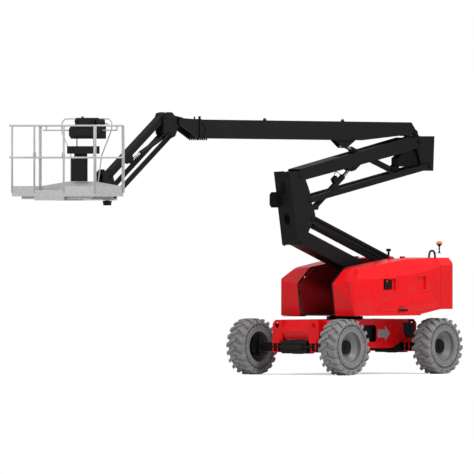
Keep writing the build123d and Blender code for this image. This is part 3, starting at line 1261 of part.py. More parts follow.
def boom_fittings():
    """Collar, wear pad adjusters and lifting eyes on the outside of the outer section."""
    width = BOOM_HALF_WIDTH
    rim = COLLAR_RISE
    rear = BOOM_FRONT - COLLAR_LENGTH
    collar = block(rear, BOOM_FRONT, -width - rim, width + rim, BOOM_BOTTOM - rim, BOOM_TOP + rim)
    collar -= block(rear, BOOM_FRONT, -width, width, BOOM_BOTTOM, BOOM_TOP)
    pads = Part() + collar
    pads += post(BOOM_FRONT - COLLAR_LENGTH / 2, 0, KNOB_RADIUS, BOOM_TOP, BOOM_TOP + KNOB_HEIGHT)
    pad_rear = rear - PAD_GAP - PAD_LENGTH
    for low in (BOOM_BOTTOM + PAD_EDGE, BOOM_TOP - PAD_EDGE - PAD_WIDTH):
        pads += pair(block(pad_rear, pad_rear + PAD_LENGTH, width, width + PAD_RISE, low, low + PAD_WIDTH))
    for side in (-1, 1):
        near, far = sorted((side * PAD_EDGE, side * (PAD_EDGE + PAD_WIDTH)))
        pads += block(pad_rear, pad_rear + PAD_LENGTH, near, far, BOOM_BOTTOM - PAD_RISE, BOOM_BOTTOM)
    for x in LIFTING_EYE_XS:
        eye = slab([(x - EYE_FOOT, BOOM_TOP), (x - EYE_TOP, BOOM_TOP + EYE_RISE),
                    (x + EYE_TOP, BOOM_TOP + EYE_RISE), (x + EYE_FOOT, BOOM_TOP)], -EYE_PLATE, EYE_PLATE)
        pads += eye - drum(x, BOOM_TOP + EYE_RISE / 2, EYE_TOP / 2, -EYE_PLATE, EYE_PLATE)
    return pads


def boom_inner_solid():
    """Telescoping section with the two nose cheeks that hold the head pin."""
    width = INNER_HALF_WIDTH
    body = block(INNER_REAR, BOOM_FRONT + NOSE_COLLAR, -width, width, INNER_BOTTOM, INNER_TOP)
    body -= block(INNER_REAR, BOOM_FRONT + NOSE_COLLAR - BOOM_WALL, -width + BOOM_WALL,
                  width - BOOM_WALL, INNER_BOTTOM + BOOM_WALL, INNER_TOP - BOOM_WALL)
    front = BOOM_FRONT + NOSE_LENGTH
    cheek = [
        (BOOM_FRONT + LUG_GAP, BOOM_TOP), (front, BOOM_TOP + NOSE_RISE),
        (front, HEAD_PIN_Z - EYE_RADIUS * NOSE_SHARE), (BOOM_FRONT + NOSE_COLLAR, BOOM_BOTTOM),
        (BOOM_FRONT + LUG_GAP, BOOM_BOTTOM),
    ]
    body += pair(slab(cheek, NOSE_CHEEK_INNER_Y, NOSE_CHEEK_OUTER_Y))
    return along(BOOM_PIN, BOOM_ANGLE) * body


def nose_pin_solid():
    return drum(*HEAD_PIN, PIN_RADIUS, -NOSE_CHEEK_OUTER_Y, NOSE_CHEEK_OUTER_Y)


def boom_head_solid():
    """Head link that stays level and carries the jib."""
    outline = [shifted(HEAD_PIN, dx, dz) for dx, dz in HEAD_OUTLINE]
    low, high = HEAD_PLATE_INNER_Y, HEAD_PLATE_OUTER_Y
    body = pair(slab(outline, low, high))
    body += drum(*shifted(HEAD_PIN, *HEAD_TIE), HEAD_TIE_RADIUS, -low, low)
    body += drum(*HEAD_PIN, EYE_RADIUS, -low, low)
    body += capped_pin(JIB_ARM_PIN, high)
    body += drum(*JIB_LINK_PIN, JIB_PIN_RADIUS, -JIB_LINK_OUTER_Y, JIB_LINK_OUTER_Y)
    body += pair(drum(*JIB_LINK_PIN, JIB_LUG_RADIUS, JIB_LINK_OUTER_Y + PIN_HEAD,
                      JIB_LINK_OUTER_Y + PIN_HEAD + PIN_CAP))
    body += pair(drum(*JIB_LINK_PIN, JIB_PIN_RADIUS, JIB_LINK_OUTER_Y, JIB_LINK_OUTER_Y + PIN_HEAD))
    return bored(body, PIN_RADIUS, HEAD_PIN)


def jib_arm_solid():
    half = JIB_ARM_HEIGHT / 2
    width = JIB_ARM_HALF_WIDTH
    body = block(ARM_END_INSET, JIB_LENGTH - ARM_END_INSET, -width, width, -half, half)
    body -= block(0, JIB_LENGTH, -width + JIB_WALL, width - JIB_WALL,
                  -half + JIB_WALL, half - JIB_WALL)
    for x in (0, JIB_LENGTH):
        body += drum(x, 0, half, -width, width)
        low, high = (0, ARM_CHEEK) if x == 0 else (JIB_LENGTH - ARM_CHEEK, JIB_LENGTH)
        body += pair(block(low, high, width - JIB_WALL * 2, width, -half, half))
    lug_low = JIB_EYE_HALF + LUG_GAP
    head = (JIB_HEAD_ALONG, JIB_HEAD_BELOW)
    hanger = [
        (head[0] - JIB_HANGER, -half), (head[0] + JIB_HANGER * 2, -half),
        (head[0] + JIB_LUG_RADIUS, head[1] - JIB_LUG_RADIUS),
        (head[0] - JIB_LUG_RADIUS, head[1] - JIB_LUG_RADIUS),
    ]
    body += pair(slab(hanger, lug_low, lug_low + LUG_PLATE))
    body += pair(drum(*head, JIB_PIN_RADIUS, lug_low, lug_low + LUG_PLATE + PIN_HEAD))
    # The cylinder's rod sinks into a slot in the bottom plate as the jib comes down.
    body -= block(JIB_SLOT_REAR, JIB_SLOT_FRONT, -JIB_SLOT_HALF, JIB_SLOT_HALF, -half, JIB_WALL - half)
    body = bored(body, PIN_RADIUS, (0, 0), (JIB_LENGTH, 0))
    return along(JIB_ARM_PIN, JIB_ANGLE) * body


def jib_link_solid():
    half = JIB_LINK_HEIGHT / 2
    neck = JIB_LENGTH - JIB_LINK_NECK
    outline = [
        (0, half), (neck - half, half), (neck, JIB_LINK_NECK_HALF), (JIB_LENGTH, JIB_LINK_NECK_HALF),
        (JIB_LENGTH, -JIB_LINK_NECK_HALF), (neck, -JIB_LINK_NECK_HALF), (neck - half, -half), (0, -half),
    ]
    bar = slab(outline, JIB_LINK_INNER_Y, JIB_LINK_OUTER_Y)
    bar += drum(0, 0, half, JIB_LINK_INNER_Y, JIB_LINK_OUTER_Y)
    bar += drum(JIB_LENGTH, 0, JIB_LINK_NECK_EYE, JIB_LINK_INNER_Y, JIB_LINK_OUTER_Y)
    bars = bored(pair(bar), JIB_PIN_RADIUS, (0, 0), (JIB_LENGTH, 0))
    return along(JIB_LINK_PIN, JIB_ANGLE) * bars


def basket_mount_solid():
    """Fork at the jib's end and the rotator below it."""
    arm_pin = (PLATFORM_PIN_X, PLATFORM_PIN_Z)
    link_pin = shifted(arm_pin, JIB_LINK_DX, JIB_LINK_DZ)
    low, high = HEAD_PLATE_INNER_Y, HEAD_PLATE_OUTER_Y
    base_low = CARRIER_TOP + SWIVEL_GAP
    outline = [
        (link_pin[0] - FORK_REAR, base_low), (link_pin[0] - FORK_REAR, link_pin[1]),
        (arm_pin[0] - FORK_REAR, arm_pin[1]),
        (arm_pin[0] - FORK_REAR * 0.5, arm_pin[1] + FORK_TOP),
        (arm_pin[0] + FORK_FRONT * FORK_SLOPE, arm_pin[1] + FORK_TOP),
        (arm_pin[0] + FORK_FRONT, arm_pin[1] + FORK_TOP * FORK_SLOPE),
        (arm_pin[0] + FORK_FRONT, link_pin[1]),
        (arm_pin[0] + FORK_FRONT * FORK_WAIST, base_low),
    ]
    body = pair(slab(outline, low, high))
    body += block(link_pin[0] - FORK_REAR, arm_pin[0] + FORK_FRONT * FORK_WAIST, -low, low,
                  base_low, base_low + FORK_BASE)
    base_front = arm_pin[0] + FORK_FRONT * FORK_WAIST
    body += block(base_front - FORK_BASE, base_front, -low, low, base_low, link_pin[1])
    body += drum(*arm_pin, PIN_RADIUS, -high, high)
    body -= drum(*arm_pin, HOLLOW_PIN_RADIUS, -high, high)
    body += pair(drum(*link_pin, JIB_PIN_RADIUS, low, JIB_LINK_OUTER_Y))
    body += post(ROTATOR_X, 0, SWIVEL_PIN_RADIUS, ROTATOR_BOTTOM, base_low)
    cup_top = CARRIER_TOP - CARRIER_THICKNESS - SWIVEL_GAP
    cup = Pos(ROTATOR_X, 0, (ROTATOR_BOTTOM + cup_top) / 2) * Cone(
        ROTATOR_RADIUS * CUP_TAPER, ROTATOR_RADIUS, cup_top - ROTATOR_BOTTOM)
    return body + cup


# ------------------------------------------------------------------ the basket
def rail(start, end, radius=RAIL_RADIUS):
    """Straight tube between two points that differ along one axis."""
    x, y, z = (max(a, b) for a, b in zip(start, end))
    if start[0] != end[0]:
        return shaft(y, z, radius, min(start[0], end[0]), x)
    if start[1] != end[1]:
        return drum(x, z, radius, min(start[1], end[1]), y)
    return post(x, y, radius, min(start[2], end[2]), z)


def basket_frame_solid():
    """Rails, posts, toe boards and the beams under the floor."""
    back, front = BASKET_BACK_X, BASKET_BACK_X + BASKET_DEPTH
    wide = BASKET_HALF_WIDTH
    bars = []
    for z in (TOP_RAIL_Z, MID_RAIL_Z):
        bars.append(rail((back, -wide, z), (back, wide, z)))
        for y in (-wide, wide):
            bars.append(rail((back, y, z), (front, y, z)))
    bars.append(rail((front, -wide - RAIL_OVERHANG, TOP_RAIL_Z), (front, wide, TOP_RAIL_Z)))
    bars.append(rail((front, -wide - RAIL_OVERHANG, MID_RAIL_Z), (front, GATE_RIGHT_Y, MID_RAIL_Z)))
    bars.append(rail((front, GATE_LEFT_Y, MID_RAIL_Z), (front, wide, MID_RAIL_Z)))
    posts = [
        (front, -wide, POST_RADIUS), (front, wide, CORNER_POST_RADIUS),
        (back, -wide, CORNER_POST_RADIUS), (back, wide, CORNER_POST_RADIUS),
        (front, GATE_LEFT_Y, POST_RADIUS), (front, GATE_RIGHT_Y, POST_RADIUS),
    ]
    for x, y, radius in posts:
        bars.append(post(x, y, radius, BASKET_FLOOR_Z, TOP_RAIL_Z))
    plate = TOE_PLATE / 2
    boards = [
        block(back - plate, back + plate, -wide, wide, TOE_BOTTOM, TOE_TOP),
        block(front - plate, front + plate, -wide, GATE_RIGHT_Y, TOE_BOTTOM, TOE_TOP),
        block(front - plate, front + plate, GATE_RIGHT_Y, GATE_LEFT_Y, TOE_BOTTOM, GATE_SILL_Z),
        block(front - plate, front + plate, GATE_LEFT_Y, wide, TOE_BOTTOM, TOE_TOP),
    ]
    for y in (-wide, wide):
        boards.append(block(back, front, y - plate, y + plate, TOE_BOTTOM, TOE_TOP))
    gable = panel([(-GABLE_HALF_WIDTH, TOE_TOP), (GABLE_HALF_WIDTH, TOE_TOP),
                   (GABLE_FLAT_HALF, GABLE_TOP), (-GABLE_FLAT_HALF, GABLE_TOP)],
                  back - plate, back + plate)
    boards.append(gable)
    beams = []
    for x in (back + BEAM_INSET, front - BEAM_INSET):
        beams.append(block(x - BEAM_HALF, x + BEAM_HALF, -BEAM_Y, BEAM_Y, CARRIER_TOP, TOE_BOTTOM))
    step = block(front - STEP_DEPTH, front, GATE_RIGHT_Y, GATE_LEFT_Y, STEP_BOTTOM, TOE_BOTTOM)
    beams.append(step)
    floor_low = BASKET_FLOOR_Z - BASKET_FLOOR_THICKNESS
    frame = block(back, front, -wide + BEAM_HALF, wide - BEAM_HALF, TOE_BOTTOM, floor_low)
    hole = block(back + BEAM_HALF * 2, front - BEAM_HALF * 2, -wide + BEAM_HALF * 3,
                 -BEAM_HALF, TOE_BOTTOM, floor_low)
    beams.append(frame - pair(hole))
    carrier_low = CARRIER_TOP - CARRIER_THICKNESS
    carrier = block(CARRIER_REAR_X, back + CARRIER_REACH, -CARRIER_HALF_WIDTH, CARRIER_HALF_WIDTH,
                    carrier_low, CARRIER_TOP)
    carrier -= post(ROTATOR_X, 0, SWIVEL_PIN_RADIUS + RUNNING_CLEARANCE, carrier_low, CARRIER_TOP)
    return Part() + bars + boards + beams + carrier + hand_rails()


def hand_rails():
    """Bent inner rails each side of the console, a hand's breadth inside the back rail."""
    x = BASKET_BACK_X + HAND_RAIL_INSET
    rails = []
    for side, near in ((1, CONSOLE_LEFT_Y), (-1, -CONSOLE_RIGHT_Y)):
        rail_y = side * HAND_RAIL_HALF
        points = [(BASKET_BACK_X, rail_y, HAND_RAIL_Z), (x, rail_y, HAND_RAIL_Z),
                  (x, side * (near + HOOP_GAP), HAND_RAIL_Z)]
        bent = tube_path(points, HAND_RAIL_RADIUS, [HAND_RAIL_BEND])
        foot = post(BASKET_BACK_X, side * HAND_RAIL_HALF, HAND_RAIL_RADIUS, HAND_RAIL_Z, TOP_RAIL_Z)
        rails += [bent, foot]
    return rails


def basket_floor_solid():
    back, front = BASKET_BACK_X + TOE_PLATE / 2, BASKET_BACK_X + BASKET_DEPTH - TOE_PLATE / 2
    wide = BASKET_HALF_WIDTH - TOE_PLATE / 2
    floor = block(back, front, -wide, wide, BASKET_FLOOR_Z - BASKET_FLOOR_THICKNESS, BASKET_FLOOR_Z)
    for x, y in ((back, wide), (front, wide), (back, -wide), (front, -wide)):
        floor -= post(x, y, CORNER_POST_RADIUS * POST_CLEARANCE, 0, TOP_RAIL_Z)
    return floor


def console_solid():
    """Control box hung on the back rail, with a tray and a document box below it."""
    x = BASKET_BACK_X + RAIL_RADIUS + CONSOLE_GAP
    deep = x + CONSOLE_DEPTH
    outline = [
        (x, CONSOLE_LOW), (deep - CONSOLE_CHAMFER, CONSOLE_LOW), (deep, CONSOLE_LOW + CONSOLE_CHAMFER),
        (deep, CONSOLE_HIGH - CONSOLE_CHAMFER), (deep - CONSOLE_CHAMFER, CONSOLE_HIGH), (x, CONSOLE_HIGH),
    ]
    body = slab(outline, CONSOLE_RIGHT_Y, CONSOLE_LEFT_Y)
    lid = block(x, x + CONSOLE_LID_DEPTH, CONSOLE_LID_RIGHT_Y, CONSOLE_LID_LEFT_Y, CONSOLE_HIGH,
                CONSOLE_LID_TOP)
    lid = chamfer(lid.edges().filter_by(Axis.Y).group_by(Axis.Z)[-1], CONSOLE_LID_CHAMFER)
    tray = block(x, x + TRAY_DEPTH, TRAY_RIGHT_Y, TRAY_LEFT_Y, TRAY_LOW, TRAY_HIGH)
    tray -= block(x + TRAY_WALL, x + TRAY_DEPTH - TRAY_WALL, TRAY_RIGHT_Y + TRAY_WALL,
                  TRAY_LEFT_Y - TRAY_WALL, TRAY_LOW + TRAY_WALL, TRAY_HIGH)
    legs = []
    for y in (TRAY_RIGHT_Y + TRAY_DEPTH, TRAY_LEFT_Y - TRAY_DEPTH):
        legs.append(post(x + TRAY_LEG_RADIUS, y, TRAY_LEG_RADIUS, BOX_HIGH, CONSOLE_LOW))
    box = block(x, x + BOX_DEPTH, BOX_RIGHT_Y, BOX_LEFT_Y, BOX_LOW, BOX_HIGH)
    box = fillet(box.edges().filter_by(Axis.Z), BOX_EDGE)
    groove = block(x - BOX_EDGE, x + BOX_DEPTH + BOX_EDGE, BOX_RIGHT_Y - BOX_EDGE, BOX_LEFT_Y + BOX_EDGE,
                   BOX_HIGH - BOX_DEPTH, BOX_HIGH - BOX_DEPTH + BOX_LID_GROOVE)
    core = block(x + BOX_LID_GROOVE, x + BOX_DEPTH - BOX_LID_GROOVE, BOX_RIGHT_Y + BOX_LID_GROOVE,
                 BOX_LEFT_Y - BOX_LID_GROOVE, BOX_LOW, BOX_HIGH)
    hangers = block(x, x + TRAY_WALL, BOX_RIGHT_Y + BOX_EDGE, BOX_LEFT_Y - BOX_EDGE, BOX_HIGH, TRAY_LOW)
    return body + lid + tray + legs + (box - (groove - core)) + hangers


def hoop_solid():
    """Guard hoop that stands behind the back rail, round the control console, and its side hoop."""
    x = BASKET_BACK_X - RAIL_RADIUS - HOOP_RADIUS - HOOP_GAP
    points = [(x, y, z) for y, z, _ in HOOP_OUTLINE]
    hoop = tube_path(points, HOOP_RADIUS, [bend for _, _, bend in HOOP_OUTLINE[1:-1]])
    points = [(x, y, z) for y, z, _ in SIDE_HOOP_OUTLINE]
    side = tube_path(points, HOOP_RADIUS, [bend for _, _, bend in SIDE_HOOP_OUTLINE[1:-1]])
    return hoop + side


def gate_bar_solid():
    """Entry bar with sleeves that slide up the two gate posts."""
    front = BASKET_BACK_X + BASKET_DEPTH
    outer = POST_RADIUS + SLEEVE_WALL
    low = MID_RAIL_Z + RAIL_RADIUS + SLEEVE_REST
    body = drum(front, MID_RAIL_Z, RAIL_RADIUS, GATE_RIGHT_Y + outer, GATE_LEFT_Y - outer)
    for side, y in ((1, GATE_RIGHT_Y), (-1, GATE_LEFT_Y)):
        near, far = sorted((y + side * outer, y + side * (outer + SLEEVE_WALL)))
        body += block(front - RAIL_RADIUS, front + RAIL_RADIUS, near, far,
                      MID_RAIL_Z - RAIL_RADIUS, low + SLEEVE_HEIGHT)
        bridge_low, bridge_high = sorted((y, y + side * (outer + SLEEVE_WALL / 2)))
        body += post(front, y, outer, low, low + SLEEVE_HEIGHT)
        body += block(front - SLEEVE_WALL, front + SLEEVE_WALL, bridge_low, bridge_high,
                      low, low + SLEEVE_HEIGHT)
        body -= post(front, y, POST_RADIUS + SLEEVE_GAP, 0, TOP_RAIL_Z)
    return body


# --------------------------------------------------------------- the cylinders
def barrel_solid(foot, head, length, radius, eye_half, pin_radius):
    """Cylinder barrel from its foot pin towards its head pin."""
    body = shaft(0, 0, radius, EYE_RADIUS, length)
    body += drum(0, 0, radius * CYLINDER_EYE_SHARE, -eye_half, eye_half)
    neck = radius * CYLINDER_NECK_SHARE
    body += block(0, EYE_RADIUS + CYLINDER_NECK_GAP, -eye_half, eye_half, -neck, neck)
    body -= shaft(0, 0, radius * ROD_SHARE + RUNNING_CLEARANCE, EYE_RADIUS * 2, length)
    body -= drum(0, 0, pin_radius + RUNNING_CLEARANCE, -eye_half, eye_half)
    return along(foot, heading(foot, head)) * body


def rod_solid(foot, head, radius, eye_half, pin_radius, end_gap):
    """Piston rod whose eye sits on the head pin, with room round the pin."""
    reach_length = distance(foot, head)
    body = shaft(0, 0, radius * ROD_SHARE, EYE_RADIUS * 2 + end_gap, reach_length)
    body += drum(reach_length, 0, radius * CYLINDER_EYE_SHARE, -eye_half, eye_half)
    body -= drum(reach_length, 0, pin_radius + OPEN_EYE_ROOM, -eye_half, eye_half)
    return along(foot, heading(foot, head)) * body


# ------------------------------------------------------------------ the pieces
left_wheel = Pos(0, WHEEL_Y, TYRE_RADIUS)
left_rim = left_wheel * rim_solid()
left_tyre = left_wheel * tyre_solid()
left_knuckle = left_wheel * knuckle_solid()
axle = axle_solid()

pieces = {
    "chassis_frame": chassis_frame_solid(),
    "front_axle": Pos(AXLE_X, 0, TYRE_RADIUS) * axle,
    "rear_axle": Pos(-AXLE_X, 0, TYRE_RADIUS) * Rot(0, 0, 180) * axle,
    "slew_ring": slew_ring_solid(),
    "turret_frame": turret_frame_solid(),
    "counterweight": counterweight_solid(),
    "engine_block": engine_solid(),
    "beacon": beacon_solid(),
    "lower_arm": lower_arm_solid(),
    "lower_link": lower_link_solid(),
    "riser_knuckle": riser_knuckle_solid(),
    "upper_arm": upper_arm_solid(),
    "upper_link": upper_link_solid(),
    "rear_link": rear_link_solid(),
    "boom_outer": boom_outer_solid(),
    "boom_inner": boom_inner_solid() + nose_pin_solid(),
    "boom_head": boom_head_solid(),
    "jib_arm": jib_arm_solid(),
    "jib_link": jib_link_solid(),
}
for end, x in (("front", AXLE_X), ("rear", -AXLE_X)):
    place = Pos(x, 0, 0)
    for name, solid in (("rim", left_rim), ("tyre", left_tyre)):
        pieces[f"{name}_{end}_left"] = place * solid
        pieces[f"{name}_{end}_right"] = place * mirror(solid, about=Plane.XZ)
# The steering arms point to the middle of the machine at both ends.
pieces["knuckle_front_left"] = Pos(AXLE_X, 0, 0) * left_knuckle
pieces["knuckle_front_right"] = Pos(AXLE_X, 0, 0) * mirror(left_knuckle, about=Plane.XZ)
pieces["knuckle_rear_left"] = Pos(-AXLE_X, 0, 0) * mirror(left_knuckle, about=Plane.YZ)
pieces["knuckle_rear_right"] = Pos(-AXLE_X, 0, 0) * Rot(0, 0, 180) * left_knuckle

platform = {
    "basket_mount": basket_mount_solid(),
    "basket_frame": basket_frame_solid(),
    "basket_floor": basket_floor_solid(),
    "control_console": console_solid(),
    "guard_hoop": hoop_solid(),
    "gate_bar": gate_bar_solid(),
}
platform_place = Pos(END_ARM_PIN[0] - PLATFORM_PIN_X, 0, END_ARM_PIN[1] - PLATFORM_PIN_Z)
for name, solid in platform.items():
    pieces[name] = platform_place * solid

left_cover = cover_solid() + cover_hinge_solid()
pieces["cover_left"] = left_cover
pieces["cover_right"] = mirror(left_cover, about=Plane.XZ)

cylinders = {
    "riser": (RISER_FOOT_PIN, RISER_HEAD_PIN, RISER_BARREL, RISER_RADIUS, RISER_EYE_HALF,
              CYLINDER_PIN_RADIUS, RISER_ROD_GAP),
    "lift": (LIFT_FOOT_PIN, LIFT_HEAD_PIN, LIFT_BARREL, LIFT_RADIUS, LIFT_EYE_HALF,
             CYLINDER_PIN_RADIUS, LIFT_ROD_GAP),
    "jib": (JIB_FOOT_PIN, JIB_HEAD_PIN, JIB_BARREL, JIB_CYLINDER_RADIUS, JIB_EYE_HALF,
            JIB_PIN_RADIUS, JIB_ROD_GAP),
}
for name, (foot, head, length, radius, eye_half, pin_radius, end_gap) in cylinders.items():
    pieces[f"{name}_barrel"] = barrel_solid(foot, head, length, radius, eye_half, pin_radius)
    pieces[f"{name}_rod"] = rod_solid(foot, head, radius, eye_half, pin_radius, end_gap)

os.makedirs("parts", exist_ok=True)
for name, solid in pieces.items():
    export_step(solid, f"parts/{name}.step")
    print(name, round(solid.volume / 1e6, 2), "dm3")
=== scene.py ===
import json
from math import atan2, cos, pi, radians, sin

import bmesh
import bpy
from mathutils import Matrix, Vector


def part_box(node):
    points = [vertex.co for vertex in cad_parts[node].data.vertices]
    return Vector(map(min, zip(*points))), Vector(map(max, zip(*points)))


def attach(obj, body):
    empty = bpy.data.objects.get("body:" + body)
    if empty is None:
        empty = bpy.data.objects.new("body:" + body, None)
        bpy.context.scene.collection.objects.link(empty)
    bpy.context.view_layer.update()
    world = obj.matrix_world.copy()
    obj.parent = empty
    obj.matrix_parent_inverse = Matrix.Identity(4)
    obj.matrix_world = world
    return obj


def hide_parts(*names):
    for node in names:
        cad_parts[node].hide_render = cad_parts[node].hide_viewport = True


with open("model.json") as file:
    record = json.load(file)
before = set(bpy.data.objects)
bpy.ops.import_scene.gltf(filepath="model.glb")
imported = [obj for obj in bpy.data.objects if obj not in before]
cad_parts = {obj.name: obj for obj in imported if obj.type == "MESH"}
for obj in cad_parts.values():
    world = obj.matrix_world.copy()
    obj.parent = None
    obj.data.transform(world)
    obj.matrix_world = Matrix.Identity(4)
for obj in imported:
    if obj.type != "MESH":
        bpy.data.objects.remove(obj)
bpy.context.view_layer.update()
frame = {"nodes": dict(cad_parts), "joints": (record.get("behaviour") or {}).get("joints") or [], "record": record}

# Dresses the articulating boom lift: paint, galvanised steel, tyres, fittings, floor, light and
# camera. +X is the front, where the platform is, +Y the left side and +Z up, all in metres.

NODES = frame["nodes"]
UP = (0, 0, 1)
LEFT = (0, 1, 0)
ENDS = ("front", "rear")
HOODS = ((1, "cover_left"), (-1, "cover_right"))


# --------------------------------------------------------------- material kit
def grey(value):
    return (value, value, value)


def opaque(colour):
    return (*colour, 1.0)


def tone(colour, factor):
    """A colour made lighter or darker by a factor."""
    return tuple(min(1.0, channel * factor) for channel in colour)


def fill(tree, node, inputs):
    """Links each input of a node to a socket, or gives it a value."""
    for key, value in inputs.items():
        if isinstance(value, bpy.types.NodeSocket):
            tree.links.new(value, node.inputs[key])
        else:
            node.inputs[key].default_value = value


def add_node(tree, kind, inputs):
    node = tree.nodes.new(kind)
    fill(tree, node, inputs)
    return node


def new_material(name):
    """A material with its own Principled shader and Object coordinates."""
    material = bpy.data.materials.new(name)
    material.use_nodes = True
    tree = material.node_tree
    shader = tree.nodes["Principled BSDF"]
    coordinates = tree.nodes.new("ShaderNodeTexCoord").outputs["Object"]
    return material, tree, shader, coordinates


def add_noise(tree, coordinates, scale, detail=4.0, roughness=0.55):
    """Noise over Object coordinates."""
    noise = add_node(tree, "ShaderNodeTexNoise", {
        "Vector": coordinates, "Scale": scale, "Detail": detail, "Roughness": roughness})
    return noise.outputs["Fac"]


def add_cells(tree, coordinates, scale):
    """Voronoi cells over Object coordinates, each with a colour of its own."""
    cells = add_node(tree, "ShaderNodeTexVoronoi", {"Vector": coordinates, "Scale": scale})
    return cells.outputs["Color"]


def add_ramp(tree, factor, *stops):
    """Colour ramp between two stops, each a position and a colour."""
    ramp = add_node(tree, "ShaderNodeValToRGB", {"Fac": factor})
    for element, (position, colour) in zip(ramp.color_ramp.elements, stops):
        element.position = position
        element.color = opaque(colour)
    return ramp.outputs["Color"]


def add_mix(tree, factor, first, second):
    mix = tree.nodes.new("ShaderNodeMix")
    mix.data_type = "RGBA"
    fill(tree, mix, {"Factor": factor, "A": first, "B": second})
    return mix.outputs["Result"]


def add_math(tree, operation, *values):
    node = add_node(tree, "ShaderNodeMath", dict(enumerate(values)))
    node.operation = operation
    return node.outputs[0]


def add_bump(tree, shader, height, strength, distance):
    bump = add_node(tree, "ShaderNodeBump", {
        "Height": height, "Strength": strength, "Distance": distance})
    fill(tree, shader, {"Normal": bump.outputs["Normal"]})


def add_core_shade(tree, coordinates, skin, shade_colour, half_width, rear):
    """Painted shade: another colour within a half width of the machine's centre plane, from its rear X on, where
    little light falls.
    """
    split = add_node(tree, "ShaderNodeSeparateXYZ", {0: coordinates})
    off_centre = add_math(tree, "ABSOLUTE", split.outputs["Y"])
    inside = add_math(tree, "LESS_THAN", off_centre, half_width)
    ahead = add_math(tree, "GREATER_THAN", split.outputs["X"], rear)
    both = add_math(tree, "MULTIPLY", inside, ahead)
    return add_mix(tree, both, skin, opaque(shade_colour))


# ------------------------------------------------------------------ materials
# Scales of the noises in sprayed paint, the depth of its orange peel and its coat's roughness.
SHIFT_SCALE = 1.3
GLOSS_SCALE = 5.0
PEEL_SCALE = 260.0
PEEL_DEPTH = 0.0006
COAT_ROUGHNESS = 0.06


def paint(name, colour, spread, roughness, coat=0.0, peel=0.12, specular=0.5, shade_core=None):
    """Sprayed paint: a slow shift of colour, patches of other gloss and fine orange peel; given a shade core,
    painted shade near the centre plane.
    """
    material, tree, shader, coordinates = new_material(name)
    shift = add_noise(tree, coordinates, SHIFT_SCALE, detail=3.0)
    darker, lighter = tone(colour, 1.0 - spread), tone(colour, 1.0 + spread)
    skin = add_ramp(tree, shift, (0.3, darker), (0.7, lighter))
    if shade_core:
        skin = add_core_shade(tree, coordinates, skin, *shade_core)
    gloss = add_noise(tree, coordinates, GLOSS_SCALE, detail=6.0)
    low, high = roughness
    fill(tree, shader, {
        "Base Color": skin,
        "Roughness": add_ramp(tree, gloss, (0.3, grey(low)), (0.75, grey(high))),
        "Specular IOR Level": specular,
        "Coat Weight": coat,
        "Coat Roughness": COAT_ROUGHNESS,
    })
    add_bump(tree, shader, add_noise(tree, coordinates, PEEL_SCALE, detail=1.0), peel, PEEL_DEPTH)
    return material


def galvanised_steel():
    """Hot-dip zinc: spangles of different grey with a faint grain."""
    material, tree, shader, coordinates = new_material("galvanised_steel")
    spangle = add_cells(tree, coordinates, 95.0)
    grain = add_noise(tree, coordinates, 38.0, detail=8.0, roughness=0.7)
    zinc = add_ramp(tree, spangle, (0.1, grey(0.36)), (0.9, grey(0.62)))
    cloud = add_ramp(tree, grain, (0.3, grey(0.38)), (0.72, grey(0.64)))
    fill(tree, shader, {
        "Base Color": add_mix(tree, 0.55, zinc, cloud),
        "Metallic": 0.35,
        "Roughness": add_ramp(tree, spangle, (0.0, grey(0.42)), (1.0, grey(0.6))),
    })
    add_bump(tree, shader, grain, 0.2, 0.001)
    return material


def tyre_rubber():
    """Pale non-marking rubber with a dull, slightly dusty face."""
    material, tree, shader, coordinates = new_material("tyre_rubber")
    dust = add_noise(tree, coordinates, 9.0, detail=8.0, roughness=0.65)
    fill(tree, shader, {
        "Base Color": add_ramp(tree, dust, (0.25, (0.16, 0.16, 0.162)),
                               (0.75, (0.29, 0.285, 0.285))),
        "Roughness": 0.78,
    })
    add_bump(tree, shader, add_noise(tree, coordinates, 320.0, detail=3.0), 0.3, 0.0012)
    return material


def chromed_rod():
    """Hard chrome with faint marks."""
    material, tree, shader, coordinates = new_material("chromed_rod")
    marks = add_noise(tree, coordinates, 240.0)
    fill(tree, shader, {
        "Base Color": add_ramp(tree, marks, (0.3, grey(0.55)), (0.7, grey(0.68))),
        "Roughness": add_ramp(tree, marks, (0.3, grey(0.08)), (0.7, grey(0.18))),
        "Metallic": 1.0,
    })
    return material


def beacon_orange():
    """Amber lens plastic that lets some light through."""
    material, tree, shader, coordinates = new_material("beacon_orange")
    shade = add_noise(tree, coordinates, 30.0, detail=2.0)
    fill(tree, shader, {
        "Base Color": add_ramp(tree, shade, (0.3, (0.95, 0.20, 0.01)), (0.7, (1.0, 0.30, 0.02))),
        "Roughness": 0.18,
        "Coat Weight": 0.5,
        "Transmission Weight": 0.25,
    })
    return material


def cast_steel():
    """Black-painted castings with a grainy skin."""
    material, tree, shader, coordinates = new_material("cast_steel")
    skin = add_noise(tree, coordinates, 22.0, detail=8.0, roughness=0.7)
    fill(tree, shader, {
        "Base Color": add_ramp(tree, skin, (0.3, grey(0.004)), (0.75, grey(0.010))),
        "Roughness": 0.5,
        "Specular IOR Level": 0.2,
    })
    add_bump(tree, shader, add_noise(tree, coordinates, 420.0, detail=3.0), 0.35, 0.0015)
    return material


RED_COLOUR = (0.78, 0.005, 0.009)
# Darker red of painted shade on the floors of recesses.
RECESS_SHADE_COLOUR = (0.42, 0.005, 0.009)
# Dark red of painted shade in the bay between the hoods.
BAY_SHADE_COLOUR = (0.17, 0.002, 0.004)
CHARCOAL_COLOUR = (0.0065, 0.0065, 0.007)
BLACK_COLOUR = (0.004, 0.004, 0.0045)
RIM_COLOUR = (0.20, 0.20, 0.203)
# Painted shade on the middle of the hoods and of the rear link, where little light falls: colour, half width and X
# where it starts.
HOOD_CORE_SHADE = (BAY_SHADE_COLOUR, 0.3815, -9.0)
LINK_CORE_SHADE = (grey(0.001), 0.101, -1.86)
RED_GLOSS = {"roughness": (0.24, 0.32), "coat": 0.06, "specular": 0.22}
CHARCOAL_GLOSS = {"roughness": (0.36, 0.50), "specular": 0.16}

